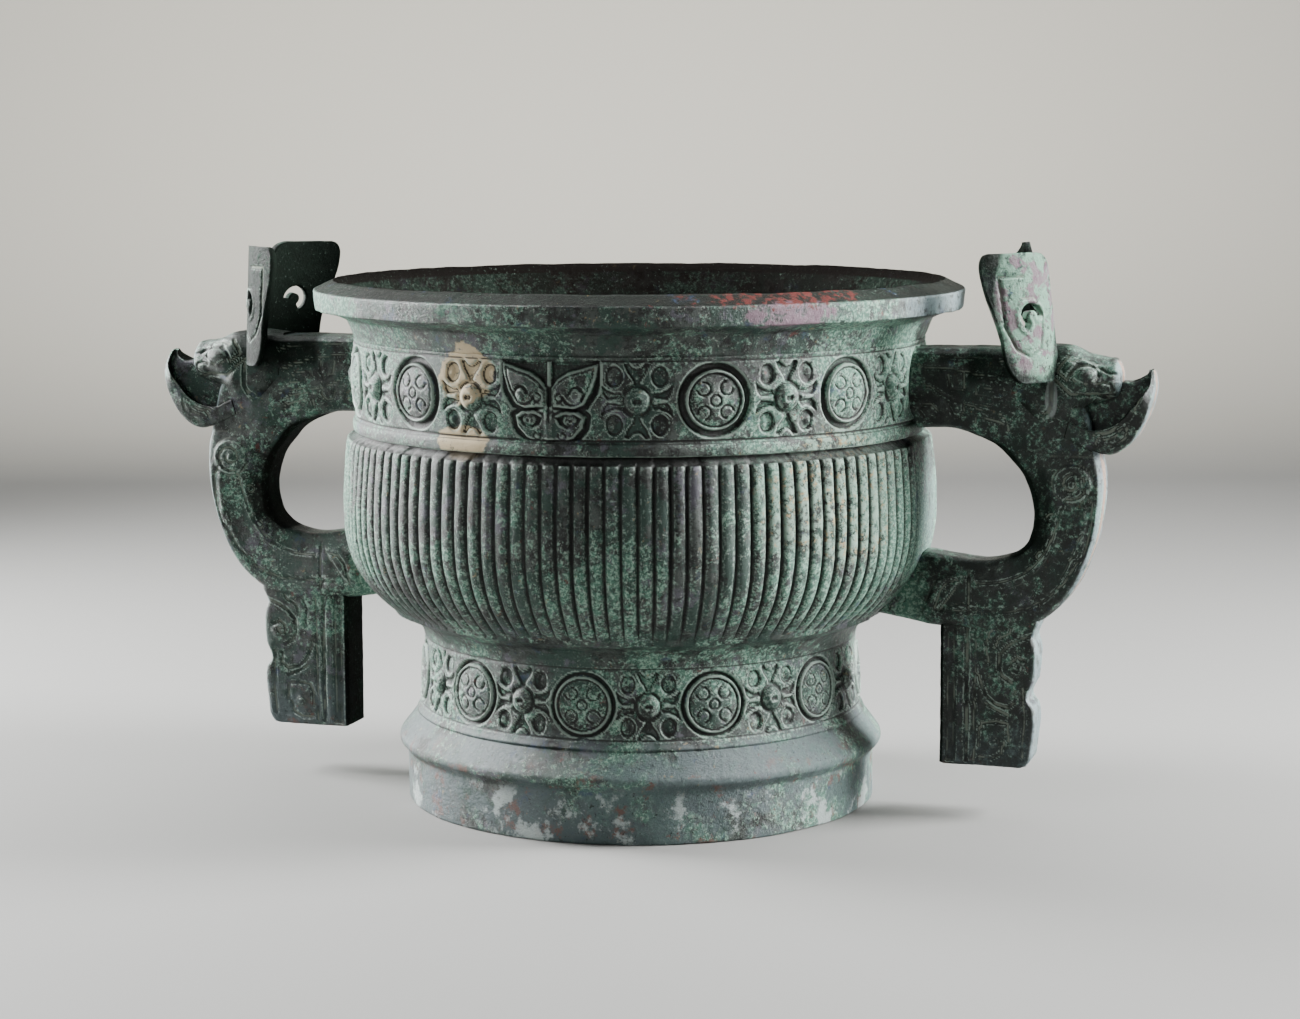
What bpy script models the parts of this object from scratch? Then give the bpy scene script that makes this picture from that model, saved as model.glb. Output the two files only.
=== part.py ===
"""Bronze gui: a round food vessel on a ring foot, with two beast-head handles.

One casting, modelled in metres. The origin is the middle of the foot's underside, +Z is up,
the handles lie along X and the two masks of the neck look along -Y and +Y.
"""

import math

import bmesh
import bpy
from mathutils import Matrix, Vector

MM = 0.001
TURN = 2.0 * math.pi

# Bowl, turned about Z. A radius is an outer radius and a height is above the foot's underside.
WALL = 4.5 * MM
RIM_RADIUS = 133.3 * MM
RIM_HEIGHT = 214.3 * MM
RIM_BEVEL_WIDTH = 8.9 * MM
RIM_BEVEL_DROP = 4.0 * MM
RIM_FACE_DROP = 8.3 * MM
RIM_FACE_SLANT = 0.8 * MM
RIM_UNDERSIDE = 4.7 * MM
RIM_FILLET = 4.0 * MM
NECK_RADIUS = 116.2 * MM
NECK_HEIGHT = 189.0 * MM
BAND_BULGE = 1.1 * MM
BAND_FOOT = 158.5 * MM
CORD_GROOVE = 0.6 * MM
CORD_FOOT = 152.9 * MM
CORD_RADIUS = 117.8 * MM
BELLY_RADIUS = 122.2 * MM
BELLY_HEIGHT = 123.0 * MM
BELLY_UNDERCURVE = 64.8 * MM
BELLY_SHOULDER = 30.0 * MM
RIB_FOOT = 80.5 * MM
RIB_COUNT = 122
RIBS_EACH_SIDE = 27
RIB_DEPTH = 1.5 * MM
FLOOR_HEIGHT = 65.5 * MM

# Ring foot, turned about Z.
FOOT_TOP = 68.0 * MM
FOOT_TOP_RADIUS = 88.7 * MM
FOOT_FILLET = 6.0 * MM
FOOT_BAND_RADIUS = 91.0 * MM
FLARE_TOP = 36.5 * MM
FLARE_RADIUS = 100.3 * MM
FLARE_HEIGHT = 26.5 * MM
FLARE_EDGE = 5.0 * MM
FOOT_RADIUS = 96.8 * MM
FOOT_STRAIGHT = 20.5 * MM

# Motifs of the two bands: roundels and four-lobed flowers by turns.
NECK_BAND_MIDDLE = 174.3 * MM
NECK_MOTIF_STEP = math.radians(14.3)
NECK_MOTIFS_EACH_SIDE = 4
NECK_FIRST_MOTIF = math.radians(16.2)
FOOT_BAND_MIDDLE = 53.5 * MM
FOOT_MOTIF_COUNT = 22
FOOT_MOTIF_START = math.radians(2.2)
ROUNDEL_RADIUS = 11.8 * MM
ROUNDEL_STAND = 1.9 * MM
ROUNDEL_RIM = 1.6 * MM
ROUNDEL_SUNK = 0.8 * MM
FLOWER_RADIUS = 11.6 * MM
FLOWER_WAIST = 5.2 * MM
FLOWER_STAND = 0.9 * MM
FLOWER_BOSS = 3.2 * MM
MASK_WIDTH = 36.0 * MM
MASK_HEIGHT = 29.0 * MM
MASK_STAND = 2.6 * MM
MOTIF_ROOT = 1.9 * MM

# Handles, drawn in the plane of X (reach from the axis) and Z.
ARM_TOP = 188.3 * MM
ARM_FOOT = 155.7 * MM
ARM_HALF_WIDTH = 12.0 * MM
LOOP_REACH = 164.4 * MM
LOOP_FOOT = 104.4 * MM
CURVE_REACH = 191.6 * MM
CURVE_HALF_WIDTH = 10.5 * MM
LOW_ARM_FOOT = 77.0 * MM
PENDANT_INNER = 127.8 * MM
PENDANT_OUTER = 165.2 * MM
PENDANT_FOOT = 20.4 * MM
PENDANT_HALF_WIDTH = 9.5 * MM
PENDANT_BEVEL = 1.4 * MM

# Beast's head at the outer corner of each handle.
SNOUT_REACH = 198.0 * MM
HEAD_LENGTH = 42.0 * MM
HEAD_DEPTH = 38.0 * MM
HEAD_RISE = 1.7 * MM
HEAD_HALF_WIDTH = 14.5 * MM
EYE_BEHIND_SNOUT = 15.5 * MM
EYE_DROP = 9.8 * MM
EYE_RADIUS = 4.2 * MM
JAW_BEHIND_SNOUT = 22.0 * MM
JAW_REACH = 211.0 * MM
JAW_FOOT = 147.4 * MM
JAW_TIP_HEIGHT = 180.8 * MM
JAW_HALF_WIDTH = 12.5 * MM
JAW_WALL = 2.4 * MM
TONGUE_HALF_WIDTH = 5.5 * MM

# Ears, curved plates that stand up from the head. The left handle's front ear is more upright
# than the others, and the right handle's back ear is bent.
EAR_THICKNESS = 3.2 * MM
EAR_WIDTH = 31.5 * MM
EAR_FOOT = 176.0 * MM
EAR_TOP = 226.3 * MM
EAR_FRONT_REACH = 173.0 * MM
EAR_FRONT_SIDE = 9.5 * MM
EAR_LEAN = 0.13
EAR_YAW = math.radians(49.0)
UPRIGHT_EAR_LEAN = 0.04
BENT_EAR_YAW = math.radians(64.0)
BENT_EAR_LEAN = 0.27
BENT_EAR_SLOPE = 12.0 * MM
EAR_BULGE = 4.0 * MM
EAR_HOLE_HEIGHT = 202.0 * MM
EAR_HOLE_RADIUS = 3.4 * MM

# Fineness of the faceted solid.
PLAIN_SIDES = 36
ROUNDEL_SIDES = 10
FLOWER_SIDES = 12
EAR_STRIPS = 4


def clear_scene():
    for old in list(bpy.data.objects):
        bpy.data.objects.remove(old, do_unlink=True)


def bronze():
    """Dark grey-green patinated bronze."""
    material = bpy.data.materials.new("bronze_patina")
    material.use_nodes = True
    shader = material.node_tree.nodes["Principled BSDF"]
    shader.inputs["Base Color"].default_value = (0.09, 0.15, 0.13, 1.0)
    shader.inputs["Roughness"].default_value = 0.62
    shader.inputs["Metallic"].default_value = 0.35
    return material


def object_of(bm, name, material=None, guide=False):
    """Closes the bmesh into an object, faces outwards. A guide stays out of the part."""
    bmesh.ops.recalc_face_normals(bm, faces=bm.faces)
    mesh = bpy.data.meshes.new(name)
    bm.to_mesh(mesh)
    bm.free()
    made = bpy.data.objects.new(name, mesh)
    bpy.context.scene.collection.objects.link(made)
    if material:
        mesh.materials.append(material)
    if guide:
        made.hide_render = True
        made.display_type = "WIRE"
    return made


def combine(target, other, operation="UNION"):
    change = target.modifiers.new(other.name, "BOOLEAN")
    change.operation = operation
    change.object = other
    change.solver = "EXACT"


def loft(bm, sections):
    """Extrudes the first outline through the rest. Each outline has as many points."""
    base = bm.faces.new([bm.verts.new(point) for point in sections[0]])
    cap = base
    for outline in sections[1:]:
        grown = bmesh.ops.extrude_face_region(bm, geom=[cap])
        passed = cap
        cap = next(item for item in grown["geom"] if isinstance(item, bmesh.types.BMFace))
        for corner, point in zip(cap.verts, outline):
            corner.co = point
        if passed is not base:
            bmesh.ops.delete(bm, geom=[passed], context="FACES_ONLY")


def belly_radius(height):
    """A superellipse under the belly's widest height and a slight slope above it."""
    if height < BELLY_HEIGHT:
        away, power, spread = (BELLY_HEIGHT - height) / BELLY_UNDERCURVE, 2.7, 1.2
    else:
        away, power, spread = (height - BELLY_HEIGHT) / BELLY_SHOULDER, 1.5, 0.022
    drop = 1.0 - max(0.0, 1.0 - away ** power) ** (1.0 / power)
    return BELLY_RADIUS * (1.0 - spread * drop)


def spun(bm, profile, sides):
    """Turns a profile of (radius, height) points about Z."""
    points = [bm.verts.new((radius, 0.0, height)) for radius, height in profile]
    line = [bm.edges.new(pair) for pair in zip(points, points[1:])]
    bmesh.ops.spin(bm, geom=points + line, cent=(0, 0, 0), axis=(0, 0, 1), angle=TURN,
                   steps=sides, use_merge=True)


def open_ring(bm, radius, height):
    """The open edges of the ring nearest to a radius and height."""
    def miss(edge):
        middle = (edge.verts[0].co + edge.verts[1].co) / 2.0
        return abs(edge.verts[0].co.xy.length - radius) + abs(middle.z - height)
    loose = [edge for edge in bm.edges if edge.is_boundary]
    least = min(miss(edge) for edge in loose)
    return [edge for edge in loose if miss(edge) < least + 0.2 * MM]


def upper_profile():
    """From the cord under the neck band, over the rim and down the inside."""
    lip_foot = RIM_HEIGHT - RIM_BEVEL_DROP - RIM_FACE_DROP
    ridge = RIM_RADIUS - RIM_BEVEL_WIDTH
    inner_neck = NECK_RADIUS - WALL
    return [
        (CORD_RADIUS, CORD_FOOT),
        (CORD_RADIUS, BAND_FOOT),
        (NECK_RADIUS - CORD_GROOVE, BAND_FOOT + CORD_GROOVE),
        (NECK_RADIUS + BAND_BULGE, NECK_BAND_MIDDLE),
        (NECK_RADIUS, NECK_HEIGHT),
        (NECK_RADIUS + RIM_FILLET, lip_foot - 0.85 * RIM_FILLET),
        (RIM_RADIUS - RIM_FACE_SLANT - RIM_UNDERSIDE, lip_foot),
        (RIM_RADIUS - RIM_FACE_SLANT, lip_foot),
        (RIM_RADIUS, RIM_HEIGHT - RIM_BEVEL_DROP),
        (ridge, RIM_HEIGHT),
        (inner_neck + 0.75 * RIM_FILLET, NECK_HEIGHT + 1.5 * RIM_FILLET),
        (inner_neck, NECK_HEIGHT - 2.0 * RIM_FILLET),
        (inner_neck, BAND_FOOT),
    ] + inner_belly()


def inner_belly():
    """The belly's inside, one wall in from its outside, and the floor."""
    inside = []
    shoulder, under = 0.4 * BELLY_SHOULDER, BELLY_UNDERCURVE
    for height in (BELLY_HEIGHT + shoulder, BELLY_HEIGHT - 0.19 * under, BELLY_HEIGHT - 0.45 * under):
        inside.append((belly_radius(height) - RIB_DEPTH - WALL, height))
    inside.append((1.04 * FOOT_TOP_RADIUS, RIB_FOOT + 0.2 * WALL))
    inside.append((0.8 * FOOT_TOP_RADIUS, FLOOR_HEIGHT + 1.2 * WALL))
    inside.append((FOOT_TOP_RADIUS / 3.0, FLOOR_HEIGHT + WALL))
    return inside


def rib_profile():
    """The belly's outside, between the cord and the foot's fillet."""
    top = CORD_FOOT - CORD_GROOVE
    tall = top - RIB_FOOT
    profile = [(CORD_RADIUS - CORD_GROOVE, top)]
    for share in (0.964, 0.65, 0.355, 0.146, 0.0):
        height = RIB_FOOT + tall * share
        profile.append((belly_radius(height), height))
    return profile


def foot_profile():
    """From the foot's fillet down its outside and up its inside to the bowl's underside."""
    inner_foot = FOOT_RADIUS - WALL
    return [
        (FOOT_TOP_RADIUS + FOOT_FILLET / 2.0, FOOT_TOP + FOOT_FILLET),
        (FOOT_TOP_RADIUS, FOOT_TOP),
        (FOOT_BAND_RADIUS, FLARE_TOP + FLARE_EDGE / 2.0),
        (FLARE_RADIUS - 0.4 * FLARE_EDGE, FLARE_HEIGHT + FLARE_EDGE / 2.0),
        (FLARE_RADIUS, FLARE_HEIGHT),
        (FLARE_RADIUS, FLARE_HEIGHT - FLARE_EDGE / 2.0),
        (FOOT_RADIUS, FOOT_STRAIGHT),
        (FOOT_RADIUS, 0.0),
        (inner_foot, 0.0),
        (inner_foot, FOOT_STRAIGHT),
        (FOOT_BAND_RADIUS - WALL, FLARE_TOP),
        (FOOT_TOP_RADIUS - WALL, FLOOR_HEIGHT - FOOT_FILLET / 2.0),
        (FOOT_TOP_RADIUS - 2.2 * WALL, FLOOR_HEIGHT),
        (FOOT_TOP_RADIUS / 3.0, FLOOR_HEIGHT),
    ]


def flute_ribs(bm):
    """Draws every second meridian of the belly in, but not in the plain strips by the handles."""
    half_turns = RIB_COUNT / TURN * 2.0
    top = CORD_FOOT - 1.5 * CORD_GROOVE
    for corner in bm.verts:
        if not RIB_FOOT + CORD_GROOVE < corner.co.z < top:
            continue
        angle = math.atan2(corner.co.x, -corner.co.y)
        if angle > TURN / 4.0:
            angle -= TURN / 2.0
        elif angle < -TURN / 4.0:
            angle += TURN / 2.0
        half_step = round(angle * half_turns)
        if half_step % 2 and abs(half_step) < 2 * RIBS_EACH_SIDE + 2:
            radius = corner.co.xy.length
            corner.co.xy *= (radius - RIB_DEPTH) / radius


def make_vessel(material):
    """Bowl and ring foot: three turned zones, joined ring to ring."""
    belly = bmesh.new()
    spun(belly, rib_profile(), 2 * RIB_COUNT)
    bmesh.ops.rotate(belly, verts=belly.verts, cent=(0, 0, 0),
                     matrix=Matrix.Rotation(-TURN / 4.0, 3, "Z"))
    flute_ribs(belly)
    fluted = bpy.data.meshes.new("belly")
    belly.to_mesh(fluted)
    belly.free()

    bm = bmesh.new()
    spun(bm, upper_profile(), PLAIN_SIDES)
    spun(bm, foot_profile(), PLAIN_SIDES)
    bm.from_mesh(fluted)
    bpy.data.meshes.remove(fluted)
    upper, ribs, foot = upper_profile(), rib_profile(), foot_profile()
    for one, two in ((upper[0], ribs[0]), (ribs[-1], foot[0])):
        bmesh.ops.bridge_loops(bm, edges=open_ring(bm, *one) + open_ring(bm, *two))
    for radius, height in (upper[-1], foot[-1]):
        bmesh.ops.contextual_create(bm, geom=open_ring(bm, radius, height))
    return object_of(bm, "gui_vessel", material)


def place_on_wall(radius, angle, height):
    """Turns a motif drawn in XY, facing +Z, to stand on the wall at an angle from -Y to +X."""
    upright = Matrix.Rotation(TURN / 4.0, 4, "X")
    turned = Matrix.Rotation(angle, 4, "Z")
    return turned @ Matrix.Translation((0.0, -radius, height)) @ upright


def outline_block(bm, outline, low, high, place):
    """A block of an outline in XY between two heights. Returns its top face."""
    base = bm.faces.new([bm.verts.new((x, y, low)) for x, y in outline])
    grown = bmesh.ops.extrude_face_region(bm, geom=[base])["geom"]
    top = next(item for item in grown if isinstance(item, bmesh.types.BMFace))
    bmesh.ops.translate(bm, verts=top.verts, vec=(0.0, 0.0, high - low))
    corners = list(base.verts) + list(top.verts)
    bmesh.ops.transform(bm, matrix=place, verts=corners)
    return top


def roundel(bm, radius, angle, height):
    """A disc with a raised edge and a sunk middle."""
    outline = []
    for step in range(ROUNDEL_SIDES):
        turn = TURN * (step + 0.5) / ROUNDEL_SIDES
        outline.append((ROUNDEL_RADIUS * math.cos(turn), ROUNDEL_RADIUS * math.sin(turn)))
    place = place_on_wall(radius, angle, height)
    top = outline_block(bm, outline, -MOTIF_ROOT, ROUNDEL_STAND, place)
    bmesh.ops.inset_region(bm, faces=[top], thickness=ROUNDEL_RIM)
    bmesh.ops.inset_region(bm, faces=[top], thickness=ROUNDEL_SUNK / 2.0, depth=-ROUNDEL_SUNK)


def flower(bm, radius, angle, height):
    """Four lobes on the diagonals about a pointed boss."""
    outline = []
    for step in range(FLOWER_SIDES):
        turn = TURN * (step + 0.5) / FLOWER_SIDES
        lobe = math.sin(2.0 * turn) ** 2
        reach = FLOWER_WAIST + (FLOWER_RADIUS - FLOWER_WAIST) * lobe
        outline.append((reach * math.cos(turn), reach * math.sin(turn)))
    place = place_on_wall(radius, angle, height)
    top = outline_block(bm, outline, -MOTIF_ROOT, FLOWER_STAND, place)
    boss = bmesh.ops.poke(bm, faces=[top])["verts"]
    lift = place.to_3x3() @ Vector((0.0, 0.0, FLOWER_BOSS - FLOWER_STAND))
    bmesh.ops.translate(bm, verts=boss, vec=lift)


def mask(bm, radius, angle, height):
    """A small beast's mask: two upswept horns over a pointed snout."""
    half = MASK_WIDTH / 2.0
    tall = MASK_HEIGHT / 2.0
    right = [(0.0, 0.25 * tall), (0.25 * half, 0.95 * tall), (0.8 * half, tall), (half, 0.45 * tall),
             (0.92 * half, -0.35 * tall), (0.5 * half, -0.7 * tall), (0.0, -tall)]
    left = [(-x, y) for x, y in reversed(right[1:-1])]
    place = place_on_wall(radius, angle, height)
    top = outline_block(bm, right + left, -MOTIF_ROOT, MASK_STAND / 2.0, place)
    ridge = bmesh.ops.poke(bm, faces=[top])["verts"]
    lift = place.to_3x3() @ Vector((0.0, 0.0, MASK_STAND / 2.0))
    bmesh.ops.translate(bm, verts=ridge, vec=lift)


def make_motifs():
    """All raised motifs of the neck band and the foot band."""
    bm = bmesh.new()
    neck = NECK_RADIUS + BAND_BULGE
    for front in (0.0, TURN / 2.0):
        mask(bm, neck, front, NECK_BAND_MIDDLE)
        for side in (-1, 1):
            for place in range(NECK_MOTIFS_EACH_SIDE):
                angle = front + side * (NECK_FIRST_MOTIF + place * NECK_MOTIF_STEP)
                motif = roundel if place % 2 else flower
                motif(bm, neck, angle, NECK_BAND_MIDDLE)
    foot = (FOOT_TOP_RADIUS + FOOT_BAND_RADIUS) / 2.0
    for place in range(FOOT_MOTIF_COUNT):
        angle = FOOT_MOTIF_START + place * TURN / FOOT_MOTIF_COUNT
        motif = flower if place % 2 else roundel
        motif(bm, foot, angle, FOOT_BAND_MIDDLE)
    return object_of(bm, "band_motifs", guide=True)


def bar_section(inner, outer, half_width):
    """Eight corners of the handle's bar, narrower on the side of the finger loop."""
    shares = ((0.0, 0.6), (0.12, 0.92), (0.9, 1.0), (1.0, 0.62))
    rim = []
    for share, width in shares:
        reach = inner[0] + (outer[0] - inner[0]) * share
        height = inner[1] + (outer[1] - inner[1]) * share
        rim.append((reach, half_width * width, height))
    return rim + [(reach, -width, height) for reach, width, height in reversed(rim)]


def handle_bar():
    """The bar: out from the neck, down round the loop and back into the belly.

    A station's first pair are shares of the finger loop, from its reach inwards and from its foot
    up; the second pair are shares of the whole curve, measured the same way.
    """
    loop_width, loop_height = LOOP_REACH - NECK_RADIUS, ARM_FOOT - LOOP_FOOT
    curve_width, curve_height = CURVE_REACH - NECK_RADIUS, ARM_TOP - LOW_ARM_FOOT
    arm, curve = ARM_HALF_WIDTH, CURVE_HALF_WIDTH
    shares = [
        ((0.651, 1.0), (0.777, 1.0), arm),
        ((0.456, 0.944), (0.552, 1.0), arm),
        ((0.295, 0.868), (0.26, 0.982), arm),
        ((0.18, 0.757), (0.101, 0.818), arm),
        ((0.085, 0.64), (0.033, 0.656), curve),
        ((0.023, 0.493), (0.0, 0.548), curve),
        ((0.0, 0.343), (0.008, 0.413), curve),
        ((0.017, 0.226), (0.042, 0.301), curve),
        ((0.058, 0.125), (0.113, 0.175), curve),
        ((0.154, 0.043), (0.199, 0.09), curve),
        ((0.29, 0.0), (0.333, 0.018), curve),
        ((0.672, 0.006), (0.857, -0.005), curve),
        ((0.9, 0.035), (1.049, 0.018), curve),
    ]
    root = NECK_RADIUS - 0.4 * WALL
    low_root = belly_radius(LOOP_FOOT) - RIB_DEPTH - 0.4 * WALL
    tail_root = belly_radius(RIB_FOOT) - RIB_DEPTH - 0.1 * WALL
    sections = [bar_section((root, ARM_FOOT), (root, ARM_TOP), arm)]
    for loop_shares, curve_shares, half_width in shares:
        inner = (LOOP_REACH - loop_width * loop_shares[0], LOOP_FOOT + loop_height * loop_shares[1])
        outer = (CURVE_REACH - curve_width * curve_shares[0],
                 LOW_ARM_FOOT + curve_height * curve_shares[1])
        sections.append(bar_section(inner, outer, half_width))
    sections.append(bar_section((low_root, LOOP_FOOT), (tail_root, RIB_FOOT + 0.2 * WALL), 0.86 * curve))
    bm = bmesh.new()
    loft(bm, sections)
    return object_of(bm, "handle_bar", guide=True)


def head_section(reach, top, foot, half_width):
    """Eight corners across the head at one reach."""
    span = top - foot
    side = [(0.45, top), (0.85, top - 0.2 * span), (1.0, top - 0.62 * span), (0.6, foot)]
    rim = [(reach, half_width * share, height) for share, height in side]
    return rim + [(reach, -width, height) for reach, width, height in reversed(rim)]


def head():
    """Skull and snout, in shares of the head's length from the nose and depth from the crown."""
    shares = [
        (1.0, 0.024, 0.79, 0.86),
        (0.667, 0.0, 1.0, 1.0),
        (0.464, 0.021, 0.842, 1.0),
        (0.31, 0.097, 0.632, 0.95),
        (0.143, 0.134, 0.579, 0.78),
        (0.036, 0.171, 0.526, 0.66),
        (0.0, 0.255, 0.474, 0.5),
    ]
    crown = ARM_TOP + HEAD_RISE
    bm = bmesh.new()
    loft(bm, [head_section(SNOUT_REACH - HEAD_LENGTH * back, crown - HEAD_DEPTH * top,
                           crown - HEAD_DEPTH * foot, HEAD_HALF_WIDTH * width)
              for back, top, foot, width in shares])
    return object_of(bm, "head", guide=True)


def jaw_section(outer, rim, tongue, half_width):
    """A trough with a tongue in it: outer is its keel, rim its lip, tongue the tongue's top."""
    keel, lip, tip = Vector(outer), Vector(rim), Vector(tongue)
    floor = keel + (lip - keel).normalized() * min(JAW_WALL, 0.5 * (lip - keel).length)
    inner = half_width - JAW_WALL
    tongue_half = min(TONGUE_HALF_WIDTH, 0.6 * inner)
    side = [(keel, 0.88 * half_width), (lip, half_width), (lip, inner), (floor, inner),
            (floor, tongue_half), (tip, tongue_half)]
    rim_points = [(point.x, width, point.y) for point, width in side]
    return rim_points + [(x, -width, z) for x, width, z in reversed(rim_points)]


def jaw():
    """The lower jaw, a broad scoop that turns up in front of the snout.

    Each station has its keel, its lip and the tongue's top, in shares of the jaw's length from
    its root and of its height from its lowest point.
    """
    shares = [
        ((0.0, 0.17), (0.06, 0.4), (0.09, 0.46), 1.0),
        ((0.29, 0.05), (0.3, 0.295), (0.314, 0.51), 1.0),
        ((0.53, 0.0), (0.47, 0.33), (0.443, 0.68), 1.0),
        ((0.75, 0.14), (0.63, 0.42), (0.543, 0.827), 1.0),
        ((0.88, 0.345), (0.75, 0.565), (0.643, 0.855), 1.0),
        ((0.965, 0.6), (0.87, 0.72), (0.757, 0.867), 1.0),
        ((1.0, 0.79), (0.94, 0.83), (0.857, 0.92), 0.74),
        ((0.99, 0.92), (0.945, 0.93), (0.9, 0.965), 0.48),
        ((0.97, 1.0), (0.935, 1.0), (0.905, 1.0), 0.24),
    ]
    root = SNOUT_REACH - JAW_BEHIND_SNOUT
    corner = Vector((root, JAW_FOOT))
    span = Vector((JAW_REACH - root, JAW_TIP_HEIGHT - JAW_FOOT))
    sections = []
    for keel, lip, tongue, width in shares:
        places = [corner + Vector(share) * span for share in (keel, lip, tongue)]
        sections.append(jaw_section(*places, JAW_HALF_WIDTH * width))
    bm = bmesh.new()
    loft(bm, sections)
    return object_of(bm, "jaw", guide=True)


def eye(side):
    """A bulging eye on the head's side."""
    bm = bmesh.new()
    bmesh.ops.create_icosphere(bm, subdivisions=1, radius=EYE_RADIUS)
    bmesh.ops.scale(bm, verts=bm.verts, vec=(1.25, 0.8, 0.9))
    place = (SNOUT_REACH - EYE_BEHIND_SNOUT, side * 0.86 * HEAD_HALF_WIDTH, ARM_TOP - EYE_DROP)
    bmesh.ops.translate(bm, verts=bm.verts, vec=place)
    return object_of(bm, "eye_%+d" % side, guide=True)


def ear_section(height, slope, start, end, side, yaw, lean):
    """A curved strip across the ear, between two shares of its width, rising by slope to its front."""
    run = Vector((-math.cos(yaw), side * math.sin(yaw)))
    out = Vector((math.sin(yaw), side * math.cos(yaw)))
    front = Vector((EAR_FRONT_REACH - lean * (height - EAR_FOOT), side * EAR_FRONT_SIDE))
    outside, inside = [], []
    for step in range(EAR_STRIPS + 1):
        share = start + (end - start) * step / EAR_STRIPS
        bulge = EAR_BULGE * (1.0 - (2.0 * share - 1.0) ** 2)
        level = height + slope * (0.5 - share)
        point = front + run * (EAR_WIDTH * share) + out * bulge
        outside.append((point.x, point.y, level))
        point = point - out * EAR_THICKNESS
        inside.append((point.x, point.y, level))
    return outside + inside[::-1]


def ear(side, yaw, lean, slope):
    """A tall ear plate with a round foot. A bent one slopes along its top."""
    tall = EAR_TOP - EAR_FOOT
    stations = [
        (EAR_FOOT, 0.0, 0.26, 0.5),
        (EAR_FOOT + 0.09 * tall, 0.0, 0.06, 0.68),
        (EAR_FOOT + 0.26 * tall, 0.0, 0.0, 0.84),
        (EAR_FOOT + 0.86 * tall, slope, 0.0, 1.0),
        (EAR_TOP - 0.04 * tall, slope, 0.08, 0.98),
        (EAR_TOP, slope, 0.28, 0.86),
    ]
    bm = bmesh.new()
    loft(bm, [ear_section(*station, side, yaw, lean) for station in stations])
    return object_of(bm, "ear_%+d" % side, guide=True)


def ear_hole(side, yaw, lean):
    """A short bar that pierces the ear near its middle."""
    run = Vector((-math.cos(yaw), side * math.sin(yaw), 0.0))
    out = Vector((math.sin(yaw), side * math.cos(yaw), 0.0))
    front = Vector((EAR_FRONT_REACH - lean * (EAR_HOLE_HEIGHT - EAR_FOOT), side * EAR_FRONT_SIDE,
                    EAR_HOLE_HEIGHT))
    middle = front + run * (0.42 * EAR_WIDTH)
    bm = bmesh.new()
    bmesh.ops.create_cone(bm, cap_ends=True, segments=6, radius1=EAR_HOLE_RADIUS, radius2=EAR_HOLE_RADIUS,
                          depth=6.0 * EAR_THICKNESS)
    bmesh.ops.scale(bm, verts=bm.verts, vec=(1.5, 0.8, 1.0))
    turn = out.to_track_quat("Z", "Y").to_matrix().to_4x4()
    bmesh.ops.transform(bm, matrix=Matrix.Translation(middle) @ turn, verts=bm.verts)
    return object_of(bm, "ear_hole_%+d" % side, guide=True)


def pendant():
    """The slab that hangs under the loop, notched along its outer edge."""
    wide, tall = PENDANT_OUTER - PENDANT_INNER, LOW_ARM_FOOT - PENDANT_FOOT
    shares = [(0.0, 0.0), (0.947, 0.0), (1.0, 0.053), (1.043, 0.318), (1.027, 0.442), (0.957, 0.504),
              (1.037, 0.689), (1.048, 0.813), (1.0, 0.919), (1.064, 1.06), (1.064, 1.106), (0.0, 1.106)]
    sections = []
    for width, inset in ((-1.0, PENDANT_BEVEL), (-1.0, 0.0), (1.0, 0.0), (1.0, PENDANT_BEVEL)):
        depth = width * (PENDANT_HALF_WIDTH - (0.0 if inset else PENDANT_BEVEL))
        section = []
        for across, up in shares:
            shift = -inset if across > 0.5 else inset
            lift = inset if up < 0.02 else 0.0
            section.append((PENDANT_INNER + wide * across + shift, depth, PENDANT_FOOT + tall * up + lift))
        sections.append(section)
    bm = bmesh.new()
    loft(bm, sections)
    return object_of(bm, "pendant", guide=True)


def handle_side(name, turn, yaw, lean, slope):
    """One whole handle, turned about Z to its side of the bowl.

    Yaw, lean and slope are those of the ear at its +Y side before it is turned.
    """
    bar = handle_bar()
    pieces = [pendant(), head(), jaw(), eye(-1), eye(1), ear(-1, EAR_YAW, EAR_LEAN, 0.0),
              ear(1, yaw, lean, slope)]
    for piece in pieces:
        combine(bar, piece)
    cutters = [ear_hole(-1, EAR_YAW, EAR_LEAN), ear_hole(1, yaw, lean)]
    for cutter in cutters:
        combine(bar, cutter, "DIFFERENCE")
    bar.name = name
    for made in [bar] + pieces + cutters:
        made.rotation_euler.z = turn
    return bar


def main():
    clear_scene()
    vessel = make_vessel(bronze())
    combine(vessel, make_motifs())
    combine(vessel, handle_side("handle_right", 0.0, BENT_EAR_YAW, BENT_EAR_LEAN, BENT_EAR_SLOPE))
    combine(vessel, handle_side("handle_left", TURN / 2.0, EAR_YAW, UPRIGHT_EAR_LEAN, 0.0))


main()
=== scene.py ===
"""Looks of the bronze gui: cast relief, patina, studio floor, light and camera.

Lengths are millimetres in this script's own shapes and metres in Blender. The frame is that of the
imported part: origin under the middle of the foot, +Z up, handles along X, front mask looking along -Y.
"""

import math

import bmesh
import bpy
import numpy as np
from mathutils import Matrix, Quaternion, Vector


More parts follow.
